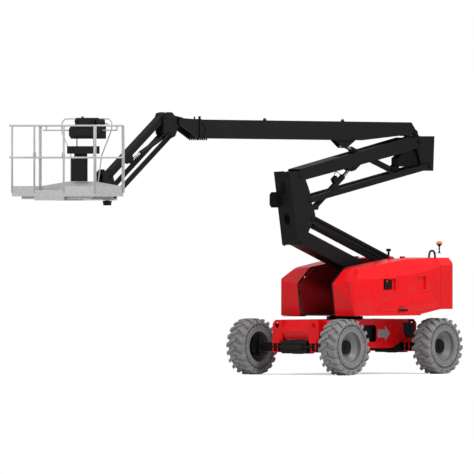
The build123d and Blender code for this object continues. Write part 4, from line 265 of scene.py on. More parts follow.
RED = paint("signal_red", RED_COLOUR, 0.05, **RED_GLOSS)
# Red with a dark red middle of painted shade on the hoods' inner walls.
HOOD_WITH_SHADE = paint("hood_red_painted_shade", RED_COLOUR, 0.05, shade_core=HOOD_CORE_SHADE, **RED_GLOSS)
RECESS_SHADE = paint("recess_red_painted_shade", RECESS_SHADE_COLOUR, 0.1, (0.3, 0.4), specular=0.4)
# Painted shade: dark red for the turret frame in the shaded bay between the hoods.
BAY_SHADE = paint("bay_red_painted_shade", BAY_SHADE_COLOUR, 0.1, (0.4, 0.55), specular=0.3)
CHARCOAL = paint("boom_charcoal", CHARCOAL_COLOUR, 0.15, **CHARCOAL_GLOSS)
# Charcoal with a black core of painted shade inside the rear link's box.
LINK_WITH_SHADE = paint("link_charcoal_painted_shade", CHARCOAL_COLOUR, 0.15, shade_core=LINK_CORE_SHADE, **CHARCOAL_GLOSS)
BLACK = paint("fitting_black", BLACK_COLOUR, 0.2, (0.42, 0.60), peel=0.25, specular=0.2)
RIM = paint("rim_grey", RIM_COLOUR, 0.08, (0.38, 0.52))
ZINC = galvanised_steel()
RUBBER = tyre_rubber()
CHROME = chromed_rod()
AMBER = beacon_orange()
CAST = cast_steel()
DECAL = paint("decal_grey", grey(0.30), 0.04, (0.4, 0.5))

FINISHES = {
    "red_paint": RED,
    "charcoal_paint": CHARCOAL,
    "black_paint": BLACK,
    "galvanised": ZINC,
    "grey_rim": RIM,
    "grey_tyre": RUBBER,
    "chrome_rod": CHROME,
    "cast_steel": CAST,
    "console_plastic": BLACK,
    "beacon_plastic": AMBER,
}
# Nodes whose paint differs from their slot's, because painted shade stands in for the dark that falls on part of
# them.
SHADED_FINISHES = {"cover_left": HOOD_WITH_SHADE, "cover_right": HOOD_WITH_SHADE, "turret_frame": BAY_SHADE, "rear_link": LINK_WITH_SHADE}


def finish_nodes():
    """Each carried-over node takes the finish of its slot in the record, or its own one with painted shade."""
    slots = {part["node"]: part["material_slot"] for part in frame["record"]["subparts"]}
    for name, node in NODES.items():
        node.data.materials.clear()
        node.data.materials.append(SHADED_FINISHES.get(name, FINISHES[slots[name]]))


# ------------------------------------------------------------------ piece kit
SAME_POINT = 0.00002


def add_piece(name, shape, body, slot, material=None, smooth=None):
    """Turns a bmesh into a piece that rides on a body and takes its slot's finish."""
    bmesh.ops.remove_doubles(shape, verts=shape.verts, dist=SAME_POINT)
    bmesh.ops.recalc_face_normals(shape, faces=shape.faces)
    if smooth is not None:
        for face in shape.faces:
            face.smooth = True
        for edge in shape.edges:
            edge.smooth = (len(edge.link_faces) == 2
                           and edge.calc_face_angle(0.0) < radians(smooth))
    mesh = bpy.data.meshes.new(name)
    shape.to_mesh(mesh)
    shape.free()
    mesh.materials.append(material or FINISHES[slot])
    piece = bpy.data.objects.new(name, mesh)
    bpy.context.scene.collection.objects.link(piece)
    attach(piece, body)
    return piece


def moved(shape, matrix, verts):
    bmesh.ops.transform(shape, matrix=matrix, verts=verts)


def turned_to(side, shape):
    """Mirrors a left-hand shape for the right side."""
    if side < 0:
        moved(shape, Matrix.Scale(-1.0, 4, LEFT), shape.verts)
        bmesh.ops.reverse_faces(shape, faces=shape.faces)


def join(shape, extra):
    """Adds another bmesh to a shape."""
    mesh = bpy.data.meshes.new("joined")
    extra.to_mesh(mesh)
    extra.free()
    shape.from_mesh(mesh)
    bpy.data.meshes.remove(mesh)


def facing(axis):
    """Turn that brings +Z to an axis."""
    return Vector(axis).to_track_quat("Z", "Y").to_matrix().to_4x4()


def round_edges(shape, edges, rim):
    bmesh.ops.bevel(shape, geom=edges, offset=rim, segments=2, profile=0.5, affect="EDGES",
                    material=-1)


def add_prism(shape, radius, height, segments, at):
    """Prism that stands on the floor of a frame; gives back its top edges."""
    made = bmesh.ops.create_cone(shape, cap_ends=True, segments=segments, radius1=radius,
                                 radius2=radius, depth=height)["verts"]
    top = [v for v in made if v.co.z > 0]
    edges = [e for e in shape.edges if e.verts[0] in top and e.verts[1] in top]
    moved(shape, at @ Matrix.Translation((0, 0, height / 2)), made)
    return edges


def add_hexagon(shape, place, axis, width, height, washer=0.0):
    """Hexagon bolt head with a rounded top edge, with or without a washer."""
    at = Matrix.Translation(place) @ facing(axis)
    if washer:
        add_prism(shape, washer, height * 0.3, 20, at)
    edges = add_prism(shape, width / 2, height, 6, at)
    round_edges(shape, edges, height * 0.18)


def add_disc(shape, place, axis, radius, height, segments=28, rim=0.0):
    """Round button or cap standing on a surface, its top edge rounded by rim."""
    at = Matrix.Translation(place) @ facing(axis)
    edges = add_prism(shape, radius, height, segments, at)
    if rim:
        round_edges(shape, edges, rim)


def add_block(shape, low, high, rim=0.0):
    """Block between two corners, its edges rounded by rim."""
    size = Vector(high) - Vector(low)
    made = bmesh.ops.create_cube(shape, size=1.0)
    edges = list({edge for vert in made["verts"] for edge in vert.link_edges})
    centre = (Vector(low) + Vector(high)) / 2
    moved(shape, Matrix.Translation(centre) @ Matrix.Diagonal((*size, 1.0)), made["verts"])
    if rim:
        round_edges(shape, edges, rim)


def pulled_out(shape, face):
    """Extrudes a face in place; gives back the verts of what grew and the new face."""
    grown = bmesh.ops.extrude_face_region(shape, geom=[face])["geom"]
    verts = [part for part in grown if isinstance(part, bmesh.types.BMVert)]
    return verts, next(part for part in grown if isinstance(part, bmesh.types.BMFace))


def add_plate(shape, outline, plane_y, thickness):
    """Flat plate with an (x, z) outline on the plane y = plane_y, standing out by thickness."""
    face = shape.faces.new([shape.verts.new((x, plane_y, z)) for x, z in outline])
    verts, _ = pulled_out(shape, face)
    moved(shape, Matrix.Translation((0, thickness, 0)), verts)


def add_bent_bar(shape, points, radius, sides=12):
    """Round bar along points, joined with mitred rings, closed at both ends."""
    points = [Vector(point) for point in points]
    heading = points[1] - points[0]
    made = bmesh.ops.create_circle(shape, cap_ends=True, segments=sides, radius=radius)["verts"]
    moved(shape, Matrix.Translation(points[0]) @ facing(heading), made)
    face = made[0].link_faces[0]
    heading.normalize()
    for index in range(1, len(points)):
        last = index == len(points) - 1
        after = heading if last else (points[index + 1] - points[index]).normalized()
        _, face = pulled_out(shape, face)
        normal = (heading + after).normalized()
        for vert in face.verts:
            travel = (points[index] - vert.co).dot(normal) / heading.dot(normal)
            vert.co += heading * travel
        heading = after


BOW_STEPS = 5


def bow(start, corner, end):
    """Points of a smooth bend from start to end that heads for corner."""
    start, corner, end = Vector(start), Vector(corner), Vector(end)
    shares = [i / BOW_STEPS for i in range(BOW_STEPS + 1)]
    return [start * (1 - t) ** 2 + corner * 2 * t * (1 - t) + end * t ** 2 for t in shares]


def swept(shape, profile, place, axis, centre, steps):
    """Turns a profile of (radius, height) pairs, set in space by place, once round an axis."""
    verts = [shape.verts.new(place(radius, height)) for radius, height in profile]
    edges = [shape.edges.new(pair) for pair in zip(verts, verts[1:])]
    bmesh.ops.spin(shape, geom=verts + edges, cent=centre, axis=axis, angle=2 * pi, steps=steps,
                   use_merge=True)


# ---------------------------------------------------------------------- tyres
TYRE_OUTER = 0.470
TREAD_BASE = 0.437
HOLE_RING = (0.335, 0.387)
HOLE_PLANE = 0.1655
HOLES = 28
SPIN_STEPS = HOLES * 4
# Insets that sink the holes, each as (thickness, depth).
HOLE_INSETS = ((0.0045, 0.0), (0.002, -0.003), (0.0015, -0.030), (0.003, -0.040))
# Half profile (radius, y) on each side of the hole ring.
BEAD_PROFILE = ((0.266, 0.1470), (0.308, 0.1470), (0.308, 0.1565), (0.3115, 0.1605),
                (0.316, 0.157), (0.321, 0.157), (0.327, 0.1655))
CROWN_PROFILE = ((0.390, 0.1670), (0.393, 0.1705), (0.398, 0.1715), (0.402, 0.1690),
                 (0.405, 0.163), (0.412, 0.160), (0.426, 0.150), (0.4345, 0.134),
                 (TREAD_BASE, 0.110), (0.440, 0.050), (0.4405, 0.0))
LUGS = 20
LUG_STEPS = 7
# Turn of a lug at the middle of the tread, the turn it sweeps through and how that bends.
LUG_START = -0.105
LUG_SWEEP = 0.21
LUG_BEND = 1.35
# Half width of a lug in radians, and how much it grows; where it starts and how far it reaches.
LUG_HALF = 0.060
LUG_GROWTH = 0.020
LUG_MIDDLE_Y = -0.006
LUG_REACH = 0.180
LUG_ROUNDING = 0.005


def at_polar(angle, radius, y):
    return Vector((radius * sin(angle), y, radius * cos(angle)))


def around(shape, count):
    """Repeats the whole shape count times round the wheel's axis."""
    made = shape.verts[:] + shape.edges[:] + shape.faces[:]
    bmesh.ops.spin(shape, geom=made, cent=(0, 0, 0), axis=LEFT, angle=2 * pi * (count - 1) / count,
                   steps=count - 1, use_duplicate=True)


def add_hole_ring(shape, side):
    """Band of alternating triangular holes between the bead and the shoulder."""
    step = 2 * pi / SPIN_STEPS
    plane = side * HOLE_PLANE
    ring = bmesh.new()
    for start, base, tip in ((0, 1, 0), (2, 0, 1)):
        corners = [at_polar((start + k) * step, HOLE_RING[base], plane) for k in range(5)]
        corners.append(at_polar((start + 2) * step, HOLE_RING[tip], plane))
        face = ring.faces.new([ring.verts.new(corner) for corner in corners])
        face.normal_update()
        if face.normal.y * side < 0:
            face.normal_flip()
    around(ring, HOLES)
    bmesh.ops.remove_doubles(ring, verts=ring.verts, dist=0.0001)
    holes = ring.faces[:]
    for thickness, depth in HOLE_INSETS:
        bmesh.ops.inset_individual(ring, faces=holes, thickness=thickness, depth=depth)
    join(shape, ring)


def add_lugs(shape, side):
    """Curved lugs that sweep from the middle of the tread to the shoulder."""
    lug = bmesh.new()
    face = None
    for i in range(LUG_STEPS + 1):
        s = i / LUG_STEPS
        turn = LUG_START + LUG_SWEEP * s ** LUG_BEND + (pi / LUGS if side > 0 else 0.0)
        half = LUG_HALF + LUG_GROWTH * s
        top = TYRE_OUTER if s < 0.85 else TYRE_OUTER - 0.006
        root = 0.424 if s < 0.7 else 0.404
        flank = top - LUG_ROUNDING
        section = ((-1.0, root), (-0.90, flank), (-0.80, top), (0.80, top), (0.90, flank),
                   (1.0, root))
        y = side * (LUG_MIDDLE_Y + LUG_REACH * s)
        places = [at_polar(turn + half * a, r, y) for a, r in section]
        if face is None:
            face = lug.faces.new([lug.verts.new(place) for place in places])
            continue
        _, face = pulled_out(lug, face)
        for vert, place in zip(face.verts, places):
            vert.co = place
    around(lug, LUGS)
    join(shape, lug)


def tyre_shape():
    """Tyre about the origin: bead, pierced sidewalls, crown and curved lugs."""
    shape = bmesh.new()
    profiles = [[(r, side * y) for r, y in (*BEAD_PROFILE, (HOLE_RING[0], HOLE_PLANE))]
                for side in (1, -1)]
    crown = [(HOLE_RING[1], HOLE_PLANE), *CROWN_PROFILE]
    profiles.append(crown + [(r, -y) for r, y in reversed(crown[:-1])])
    bore, bead = BEAD_PROFILE[0]
    profiles.append([(bore, bead), (bore, 0.0), (bore, -bead)])
    for profile in profiles:
        swept(shape, profile, lambda r, y: (0.0, y, r), LEFT, (0, 0, 0), SPIN_STEPS)
    for side in (1, -1):
        add_hole_ring(shape, side)
        add_lugs(shape, side)
    return shape


def add_tyres():
    """Detailed tyres stand for the plain solids of the four wheels."""
    for end in ENDS:
        for side in ("left", "right"):
            name = f"tyre_{end}_{side}"
            low, high = (Vector(corner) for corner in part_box(name))
            shape = tyre_shape()
            flip = Matrix.Scale(-1.0, 4, LEFT) if side == "right" else Matrix.Identity(4)
            moved(shape, Matrix.Translation((low + high) / 2) @ flip, shape.verts)
            tyre = add_piece(f"tread_{end}_{side}", shape, f"wheel_{end}_{side}", "grey_tyre",
                             smooth=32)
            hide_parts(name)


# ------------------------------------------------------------- softened edges
# Width of the rounding, and the nodes that get it.
EDGE_ROUNDING = (
    (0.0080, ("cover_left", "cover_right")),
    (0.0060, ("counterweight", "chassis_frame", "turret_frame")),
    (0.0040, ("boom_outer", "boom_inner", "lower_arm", "upper_arm", "jib_arm", "boom_head",
              "riser_knuckle", "rear_link", "upper_link", "lower_link", "jib_link",
              "basket_mount")),
    (0.0030, ("front_axle", "rear_axle", "knuckle_front_left", "knuckle_front_right",
              "knuckle_rear_left", "knuckle_rear_right", "control_console", "engine_block",
              "slew_ring")),
    (0.0012, ("basket_frame", "basket_floor", "gate_bar", "guard_hoop", "beacon")),
)
SHARP_ANGLE = 38


def soften_edges():
    """Sheet and castings have no knife edges: each node's sharp edges are rounded."""
    for width, names in EDGE_ROUNDING:
        for name in names:
            node = NODES[name]
            weld = node.modifiers.new("weld", "WELD")
            weld.merge_threshold = 0.0001
            bevel = node.modifiers.new("edges", "BEVEL")
            bevel.width = width
            bevel.segments = 2
            bevel.limit_method = "ANGLE"
            bevel.angle_limit = radians(SHARP_ANGLE)
            bevel.use_clamp_overlap = True
            bevel.harden_normals = True


# -------------------------------------------------------------------- fittings
# Plan of a hood's flank, as (x, y): its front corner, its bend and its rear.
COVER_CORNER = Vector((0.735, 0.790))
COVER_MIDDLE = Vector((-0.150, 1.010))
COVER_REAR = Vector((-1.190, 1.100))


def flank_y(x):
    """Y of the left hood's flank at X."""
    ahead = x > COVER_MIDDLE.x
    first, second = (COVER_CORNER, COVER_MIDDLE) if ahead else (COVER_MIDDLE, COVER_REAR)
    share = (first.x - x) / (first.x - second.x)
    return first.y + (second.y - first.y) * share


def flank_place(x):
    """Frame on the left hood's flank behind its bend, with local X along the flank."""
    flank = COVER_MIDDLE - COVER_REAR
    turn = Matrix.Rotation(atan2(flank.y, flank.x), 4, "Z")
    return Matrix.Translation((x, flank_y(x), 0)) @ turn


# Y of the chassis' side plates.
CHASSIS_SIDE = 0.490
ARROW = ((-0.273, 0.615), (-0.273, 0.748), (-0.468, 0.748), (-0.468, 0.812), (-0.598, 0.683),
         (-0.468, 0.556), (-0.468, 0.615))
# Black blocks of painted shade behind the chassis' openings: rear X, front X, low Z, high Z and half width.
CHASSIS_SHADE_BLOCKS = (
    (-0.260, 0.145, 0.530, 0.840, 0.420),
    (-1.300, -1.000, 0.610, 0.855, 0.400),
)
# Outline of the black plate of painted shade on the rear opening.
REAR_OPENING = ((-0.945, 0.862), (-1.240, 0.862), (-1.240, 0.620), (-1.020, 0.600),
                (-0.960, 0.700))


def add_side_plates(shape, outline, thickness):
    """A plate on the chassis' left side, and the same one turned half round on its right side."""
    add_plate(shape, outline, CHASSIS_SIDE, thickness)
    add_plate(shape, [(-x, z) for x, z in outline], -CHASSIS_SIDE, -thickness)


def add_arrow():
    """Plain grey arrow on both side plates."""
    shape = bmesh.new()
    add_side_plates(shape, ARROW, 0.0006)
    add_piece("direction_arrows", shape, "chassis", "galvanised", DECAL)


def add_chassis_shade():
    """Painted shade: black blocks behind the chassis' openings, and a black plate for the rear opening."""
    shape = bmesh.new()
    for rear, front, low, high, half in CHASSIS_SHADE_BLOCKS:
        add_block(shape, (rear, -half, low), (front, half, high))
    add_side_plates(shape, REAR_OPENING, 0.0012)
    add_piece("chassis_shade", shape, "chassis", "black_paint")


# X at which the front pocket's controls meet the flank, and how far they sit back from it.
POCKET_X = 0.01
POCKET_DEPTH = 0.030
# Z of the row of lamps, of the lowest slat and of the stop button, and the button's X.
LAMP_Z = 1.470
SLAT_Z = 1.512
SLAT_PITCH = 0.012
STOP_Z = 1.560
STOP_X = 0.072


def add_control_boxes():
    """Ground controls, lamps and stop button in the hoods' front pockets."""
    for side, body in HOODS:
        shape = bmesh.new()
        y = flank_y(POCKET_X) - POCKET_DEPTH
        face = y + 0.018
        add_block(shape, (-0.085, y - 0.010, 1.425), (0.105, y + 0.020, 1.590), 0.014)
        add_block(shape, (-0.070, face, 1.440), (0.040, y + 0.024, 1.500), 0.004)
        for k in range(3):
            add_disc(shape, (-0.055 + 0.035 * k, y + 0.023, LAMP_Z), LEFT, 0.009, 0.012, rim=0.003)
        for k in range(4):
            z = SLAT_Z + SLAT_PITCH * k
            add_block(shape, (-0.070, face, z), (0.030, y + 0.023, z + SLAT_PITCH / 2), 0.001)
        turned_to(side, shape)
        add_piece(f"{body}_controls", shape, body, "console_plastic", smooth=40)
        shape = bmesh.new()
        add_disc(shape, (STOP_X, face, STOP_Z), LEFT, 0.012, 0.010)
        add_disc(shape, (STOP_X, y + 0.028, STOP_Z), LEFT, 0.020, 0.012, rim=0.005)
        turned_to(side, shape)
        add_piece(f"{body}_stop_button", shape, body, "red_paint", smooth=40)


# Pins: the joint that gives the place, or three of which the place is the first plus the second
# less the third; then the body that holds the pin, and its half width.
PINS = (
    (("riser_lower",), "turret", 0.198),
    (("lower_link_turn",), "turret", 0.198),
    (("knuckle_level",), "riser_knuckle", 0.180),
    (("knuckle_level", "lower_link_turn", "riser_lower"), "riser_knuckle", 0.180),
    (("riser_upper",), "riser_knuckle", 0.180),
    (("upper_link_turn",), "riser_knuckle", 0.180),
    (("rear_link_level",), "rear_link", 0.144),
    (("rear_link_level", "upper_link_turn", "riser_upper"), "rear_link", 0.162),
    (("boom_lift",), "rear_link", 0.144),
    (("jib_lift",), "boom_head", 0.100),
    (("jib_link_turn",), "boom_head", 0.135),
)
# Keeper bar under a pin: half length, low and high edge, and its bolts' distance and height.
KEEPER_HALF = 0.040
KEEPER_LOW = -0.034
KEEPER_HIGH = -0.010
KEEPER_FACE = 0.007
KEEPER_BOLT_X = 0.027
KEEPER_BOLT_Z = -0.022
NIPPLE_Z = 0.014


def joint_place(name):
    return Vector(next(joint["pos_m"] for joint in frame["joints"] if joint["name"] == name))


def add_pin_keepers():
    """A keeper bar, two bolts and a grease nipple on both ends of each pin."""
    for number, (names, body, reach) in enumerate(PINS):
        place = joint_place(names[0])
        if len(names) == 3:
            place += joint_place(names[1]) - joint_place(names[2])
        shape = bmesh.new()
        for side in (1, -1):
            y = side * reach
            face = y + side * KEEPER_FACE
            out = (0, side, 0)
            near, far = sorted((y - side * 0.002, face))
            add_block(shape, (place.x - KEEPER_HALF, near, place.z + KEEPER_LOW),
                      (place.x + KEEPER_HALF, far, place.z + KEEPER_HIGH), 0.002)
            for dx in (-KEEPER_BOLT_X, KEEPER_BOLT_X):
                add_hexagon(shape, (place.x + dx, face, place.z + KEEPER_BOLT_Z), out, 0.017, 0.009,
                            washer=0.011)
            add_disc(shape, (place.x, y, place.z + NIPPLE_Z), out, 0.006, 0.010, segments=10,
                     rim=0.002)
        add_piece(f"pin_keepers_{number}", shape, body, "black_paint", smooth=35)


# Profile of the beacon's lens, as (radius, depth under its top).
LENS_PROFILE = ((0.0, 0.0), (0.022, 0.001), (0.038, 0.005), (0.046, 0.013), (0.049, 0.024),
                (0.0495, 0.044), (0.0, 0.044))
BEACON_RADIUS = 0.050
# Bar loop that carries the beacon's plate: X of its feet, its Y, and Z of foot and crown.
LOOP_FEET = (-1.535, -1.375)
LOOP_Y = 0.700
LOOP_LOW = 1.948
LOOP_CROWN = 2.064
LOOP_CORNER = 2.068
PLATE_LOW = 2.0195
PLATE_TOP = 2.026


def add_beacon():
    """Amber lens on its base and stem, held by a plate on a bar loop."""
    low, high = (Vector(corner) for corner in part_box("beacon"))
    x, y, top = low.x + BEACON_RADIUS, high.y - BEACON_RADIUS, high.z
    lens = bmesh.new()
    swept(lens, LENS_PROFILE, lambda r, depth: (x + r, y, top - depth), UP, (x, y, 0), 40)
    add_piece("beacon_lens", lens, "turret", "beacon_plastic", smooth=40)
    base = bmesh.new()
    add_disc(base, (x, y, top - 0.062), UP, 0.047, 0.018, segments=40, rim=0.003)
    add_disc(base, (x, y, top - 0.085), UP, 0.028, 0.023, rim=0.004)
    add_disc(base, (x, y, 2.030), UP, 0.012, top - 2.100, segments=16)
    add_hexagon(base, (x, y, PLATE_TOP), UP, 0.036, 0.014)
    rear, front = LOOP_FEET
    crown = ((rear + front) / 2, LOOP_Y, LOOP_CROWN)
    add_block(base, (x - 0.024, LOOP_Y - 0.001, PLATE_LOW),
              (rear + 0.008, high.y - 0.026, PLATE_TOP), 0.002)
    loop = bow((rear, LOOP_Y, LOOP_LOW), (rear, LOOP_Y, LOOP_CORNER), crown)
    loop += bow(crown, (front, LOOP_Y, LOOP_CORNER), (front, LOOP_Y, LOOP_LOW))[1:]
    add_bent_bar(base, loop, 0.017)
    for foot in LOOP_FEET:
        add_disc(base, (foot, LOOP_Y, LOOP_LOW), UP, 0.024, 0.004, rim=0.001)
    base = add_piece("beacon_stand", base, "turret", "black_paint", smooth=40)
    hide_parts("beacon")


HUB_BOLTS = 8
HUB_BOLT_CIRCLE = 0.085
# Distance of the hub's steps from the middle of the rim.
HUB_FOOT = 0.027
HUB_STEP = 0.0630
HUB_FACE = 0.0790


def add_hubs():
    """Black planetary hub with its bolts and plug on each rim."""
    for end in ENDS:
        for side, sign in (("left", 1), ("right", -1)):
            low, high = (Vector(corner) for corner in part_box(f"rim_{end}_{side}"))
            centre = (low + high) / 2
            out = Vector((0, sign, 0))
            shape = bmesh.new()
            add_disc(shape, centre + out * HUB_FOOT, out, 0.1195, 0.0365, segments=48, rim=0.013)
            add_disc(shape, centre + out * HUB_STEP, out, 0.0595, 0.0165, segments=40, rim=0.005)
            add_hexagon(shape, centre + out * HUB_FACE, out, 0.026, 0.007)
            for k in range(HUB_BOLTS):
                angle = 2 * pi * (k + 0.5) / HUB_BOLTS
                spot = Vector((cos(angle), 0, sin(angle))) * HUB_BOLT_CIRCLE
                add_hexagon(shape, centre + out * HUB_STEP + spot, out, 0.017, 0.008, washer=0.011)
            add_piece(f"hub_{end}_{side}", shape, f"wheel_{end}_{side}", "black_paint", smooth=35)


def add_deck_strip():
    """Rubber strip along the front edge of the turret's deck, and two black strips of painted shade under it."""
    shape = bmesh.new()
    add_block(shape, (0.676, -0.630, 0.9835), (0.688, 0.630, 1.0125), 0.003)
    for near, far in ((-0.770, -0.380), (0.380, 0.770)):
        add_block(shape, (0.560, near, 0.9700), (0.700, far, 0.9825), 0.003)
    add_piece("deck_strip", shape, "turret", "black_paint")


# Front edge of a hood's inner wall, from its foot to its roof, as (x, z), and its Y.
HOOD_EDGE = ((0.712, 0.990), (0.7885, 1.500), (0.7700, 1.5450), (0.4700, 1.7800),
             (0.4200, 1.7950), (-0.550, 1.9230))
HOOD_EDGE_Y = 0.3715
# X of the low recess' middle, and its floor in painted shade as (x from the middle, z).
LATCH_X = -0.330
LATCH_RECESS = ((0.180, 1.060), (0.115, 1.152), (-0.175, 1.152), (-0.110, 1.037),
                (0.140, 1.037))
# Floors of the scoops in painted shade: X of the middle, depth under the flank and an outline as above.
SCOOPS = (
    (-0.260, 0.0195, ((-0.098, 1.520), (-0.060, 1.640), (0.098, 1.640), (0.098, 1.430),
                      (-0.030, 1.415))),
    (-0.710, 0.0370, ((-0.100, 1.470), (-0.100, 1.590), (-0.045, 1.630), (0.070, 1.630),
                      (0.098, 1.590), (0.060, 1.450), (0.000, 1.432))),
)


def add_hood_trim():
    """Seal on the edge of each hood's inner wall, the floors of its low recess and scoops in painted shade, and
    its latch.
    """
    for side, body in HOODS:
        shape = bmesh.new()
        add_bent_bar(shape, [(x, HOOD_EDGE_Y, z) for x, z in HOOD_EDGE], 0.0065, sides=10)
        turned_to(side, shape)
        add_piece(f"{body}_seal", shape, body, "black_paint", smooth=40)
        shape = bmesh.new()
        floors = [(LATCH_X, 0.0180, 0.030, LATCH_RECESS)]
        floors += [(middle, depth, 0.003, outline) for middle, depth, outline in SCOOPS]
        for middle, depth, thickness, outline in floors:
            floor = bmesh.new()
            add_plate(floor, outline, -depth, thickness)
            moved(floor, flank_place(middle), floor.verts)
            join(shape, floor)
        turned_to(side, shape)
        # The floors take a darker red of painted shade.
        add_piece(f"{body}_recess_shade", shape, body, "red_paint", RECESS_SHADE)
        shape = bmesh.new()
        add_block(shape, (-0.075, -0.010, 1.056), (0.150, 0.0155, 1.092), 0.003)
        moved(shape, flank_place(LATCH_X), shape.verts)
        turned_to(side, shape)
        add_piece(f"{body}_latch", shape, body, "black_paint")


# The riser cylinder's barrel slopes this much from level; its local Z points down and back.
RISER_TILT = -145.6
# Holding valve in the barrel's frame: its underside, its two fittings and where the hose ends.
VALVE_LOW = -0.125
VALVE_FITTINGS = (0.6675, 0.7225)
BARREL_SKIN = -0.046


def barrel_place(body, tilt):
    """Frame of a cylinder's barrel: local X runs from its foot pin towards its rod."""
    foot = Vector(next(joint["pos_m"] for joint in frame["joints"] if joint["child"] == body))
    return Matrix.Translation(foot) @ Matrix.Rotation(radians(tilt), 4, "Y")


def add_riser_valve():
    """Holding valve on the riser cylinder, with its fittings and a bow of hose."""
    shape = bmesh.new()
    add_block(shape, (0.640, -0.036, VALVE_LOW), (0.750, 0.036, BARREL_SKIN), 0.004)
    for x in VALVE_FITTINGS:
        add_hexagon(shape, (x, 0, VALVE_LOW), (0, 0, -1), 0.020, 0.012)
    start = (VALVE_FITTINGS[1], 0, VALVE_LOW - 0.006)
    hose = bow(start, (0.8125, 0, -0.235), (0.8725, 0, BARREL_SKIN))
    add_bent_bar(shape, hose, 0.0065, sides=10)
    moved(shape, barrel_place("riser_barrel", RISER_TILT), shape.verts)
    add_piece("riser_valve", shape, "riser_barrel", "black_paint", smooth=40)


def add_link_bracket():
    """Hose bracket that stands on the lower link's left bar."""
    shape = bmesh.new()
    add_block(shape, (-1.020, 0.118, 1.972), (-0.985, 0.138, 2.060), 0.003)
    add_block(shape, (-1.050, 0.112, 2.052), (-0.955, 0.144, 2.098), 0.006)
    add_piece("link_bracket", shape, "lower_link", "black_paint", smooth=40)


# Z of the outer boom's roof and floor, and the clamp's distance behind the boom's mouth.
BOOM_TOP = 4.2515
BOOM_BOTTOM = 3.9440
CLAMP_SETBACK = 0.155
COMB_TEETH = 5
COMB_PITCH = 0.050
COMB_Y = 0.100


def add_boom_clamp():
    """Strap, knob and a comb of wear strips at the front of the outer boom."""
    _, high = (Vector(corner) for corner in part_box("boom_outer"))
    x, wide = high.x - CLAMP_SETBACK, high.y
    shape = bmesh.new()
    add_disc(shape, (x, 0, BOOM_TOP - 0.006), UP, 0.030, 0.020, rim=0.004)
    add_disc(shape, (x, 0, BOOM_TOP + 0.012), UP, 0.020, 0.050, rim=0.006)
    for side in (1, -1):
        near, far = sorted((side * (wide - 0.006), side * (wide - 0.0005)))
        add_block(shape, (x - 0.018, near, BOOM_BOTTOM + 0.004), (x + 0.018, far, BOOM_TOP - 0.012))
    for k in range(COMB_TEETH):
        start = x - 0.070 + COMB_PITCH * k
        for y in (-COMB_Y, COMB_Y):
            add_block(shape, (start, y - 0.010, BOOM_BOTTOM - 0.030),
                      (start + 0.022, y + 0.010, BOOM_BOTTOM + 0.012), 0.004)
    add_piece("boom_clamp", shape, "boom_outer", "black_paint", smooth=40)


# Z of the console's face; X from its rear side and Ys of its levers and of its switches.
CONSOLE_FACE = 4.148
LEVER_X = 0.165
LEVER_YS = (0.020, 0.330)
SWITCH_X = 0.185
SWITCH_START = 0.085
SWITCH_PITCH = 0.045


def add_console_details():
    """Side of the console's cover, its knob, levers and switches."""
    low, high = (Vector(corner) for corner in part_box("control_console"))
    rear = low.x
    shape = bmesh.new()
    add_block(shape, (rear + 0.004, 0.392, 4.146), (rear + 0.110, 0.532, 4.258), 0.022)
    add_disc(shape, (rear + 0.065, 0.090, high.z - 0.003), UP, 0.020, 0.026, rim=0.006)
    for y in LEVER_YS:
        add_disc(shape, (rear + LEVER_X, y, CONSOLE_FACE), UP, 0.024, 0.014, rim=0.005)
        add_disc(shape, (rear + LEVER_X, y, CONSOLE_FACE + 0.012), UP, 0.006, 0.050)
        add_disc(shape, (rear + LEVER_X, y, CONSOLE_FACE + 0.057), UP, 0.015, 0.040, rim=0.009)
    for k in range(5):
        y = SWITCH_START + SWITCH_PITCH * k
        add_disc(shape, (rear + SWITCH_X, y, CONSOLE_FACE), UP, 0.008, 0.014, rim=0.003)
    add_piece("console_levers", shape, "basket", "console_plastic", smooth=40)


# -------------------------------------------------------- floor, light, camera
# The camera stands far off, which gives the photograph's near parallel lines.
CAMERA_AZIMUTH = 129.8
CAMERA_ELEVATION = 0.3
CAMERA_DISTANCE = 260.0
CAMERA_TARGET = Vector((2.038, -0.6495, 2.303))
FRAME_WIDTH = 7.9
SENSOR_WIDTH = 36.0
LAMP_TARGET = Vector((1.0, 0.0, 1.5))
# Name, azimuth, elevation, distance, size and power.
LAMPS = (
    ("key_lamp", 172.0, 42.0, 12.0, 4.0, 800.0),
    ("fill_lamp", 85.0, 20.0, 12.0, 6.0, 220.0),
    ("top_lamp", 140.0, 80.0, 12.0, 5.0, 520.0),
)
FLOOR_HALF = 8.0
FLOOR_COLOUR = grey(0.80)
FLOOR_SEEN_COLOUR = grey(0.90)
FLOOR_GLOW = 0.40
AMBIENT = 0.48


def looking_from(azimuth, elevation):
    """Unit vector from the machine to a viewer at these angles."""
    a, e = radians(azimuth), radians(elevation)
    return Vector((sin(a) * cos(e), -cos(a) * cos(e), sin(e)))


def aim(thing, target):
    thing.rotation_euler = (target - thing.location).to_track_quat("-Z", "Y").to_euler()


def add_camera():
    lens = bpy.data.cameras.new("camera")
    lens.sensor_width = SENSOR_WIDTH
    lens.lens = SENSOR_WIDTH * CAMERA_DISTANCE / FRAME_WIDTH
    lens.clip_end = CAMERA_DISTANCE * 3
    camera = bpy.data.objects.new("camera", lens)
    view = looking_from(CAMERA_AZIMUTH, CAMERA_ELEVATION)
    camera.location = CAMERA_TARGET + view * CAMERA_DISTANCE
    aim(camera, CAMERA_TARGET)
    bpy.context.scene.collection.objects.link(camera)
    bpy.context.scene.camera = camera


def add_lamp(name, azimuth, elevation, distance, size, power):
    light = bpy.data.lights.new(name, "AREA")
    light.shape = "DISK"
    light.size = size
    light.energy = power
    lamp = bpy.data.objects.new(name, light)
    lamp.location = LAMP_TARGET + looking_from(azimuth, elevation) * distance
    aim(lamp, LAMP_TARGET)
    bpy.context.scene.collection.objects.link(lamp)


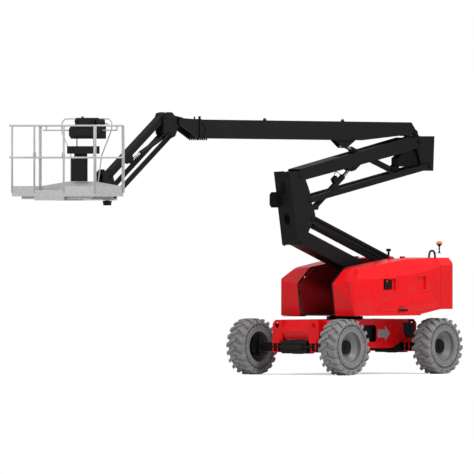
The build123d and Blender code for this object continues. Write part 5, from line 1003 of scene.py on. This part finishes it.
def show_apart(tree, output, unseen, seen):
    """Shows one shader to the camera and another to every other ray."""
    path = tree.nodes.new("ShaderNodeLightPath")
    mix = add_node(tree, "ShaderNodeMixShader", {
        "Fac": path.outputs["Is Camera Ray"], 1: unseen, 2: seen})
    add_node(tree, output, {"Surface": mix.outputs["Shader"]})


def floor_material():
    """White to the camera, yet it keeps the shadow that falls on it."""
    material = bpy.data.materials.new("studio_floor")
    material.use_nodes = True
    tree = material.node_tree
    tree.nodes.clear()
    plain, soft = (
        add_node(tree, "ShaderNodeBsdfDiffuse", {"Color": opaque(colour)}).outputs["BSDF"]
        for colour in (FLOOR_COLOUR, FLOOR_SEEN_COLOUR))
    glow = add_node(tree, "ShaderNodeEmission", {"Strength": FLOOR_GLOW}).outputs["Emission"]
    both = add_node(tree, "ShaderNodeAddShader", {0: soft, 1: glow}).outputs["Shader"]
    show_apart(tree, "ShaderNodeOutputMaterial", plain, both)
    return material


def add_floor():
    mesh = bpy.data.meshes.new("studio_floor")
    shape = bmesh.new()
    bmesh.ops.create_grid(shape, x_segments=1, y_segments=1, size=FLOOR_HALF)
    shape.to_mesh(mesh)
    shape.free()
    floor = bpy.data.objects.new("studio_floor", mesh)
    mesh.materials.append(floor_material())
    bpy.context.scene.collection.objects.link(floor)


def light_world():
    """Soft surroundings that show plain white to the camera."""
    world = bpy.data.worlds.new("studio")
    world.use_nodes = True
    bpy.context.scene.world = world
    tree = world.node_tree
    tree.nodes.clear()
    ambient, white = (
        add_node(tree, "ShaderNodeBackground", {
            "Color": opaque(grey(1.0)), "Strength": strength}).outputs["Background"]
        for strength in (AMBIENT, 1.0))
    show_apart(tree, "ShaderNodeOutputWorld", ambient, white)


finish_nodes()
soften_edges()
add_tyres()
add_arrow()
add_control_boxes()
add_pin_keepers()
add_beacon()
add_hubs()
add_chassis_shade()
add_deck_strip()
add_hood_trim()
add_riser_valve()
add_link_bracket()
add_boom_clamp()
add_console_details()
add_floor()
light_world()
for lamp_row in LAMPS:
    add_lamp(*lamp_row)
add_camera()
bpy.context.scene.view_settings.view_transform = "Standard"
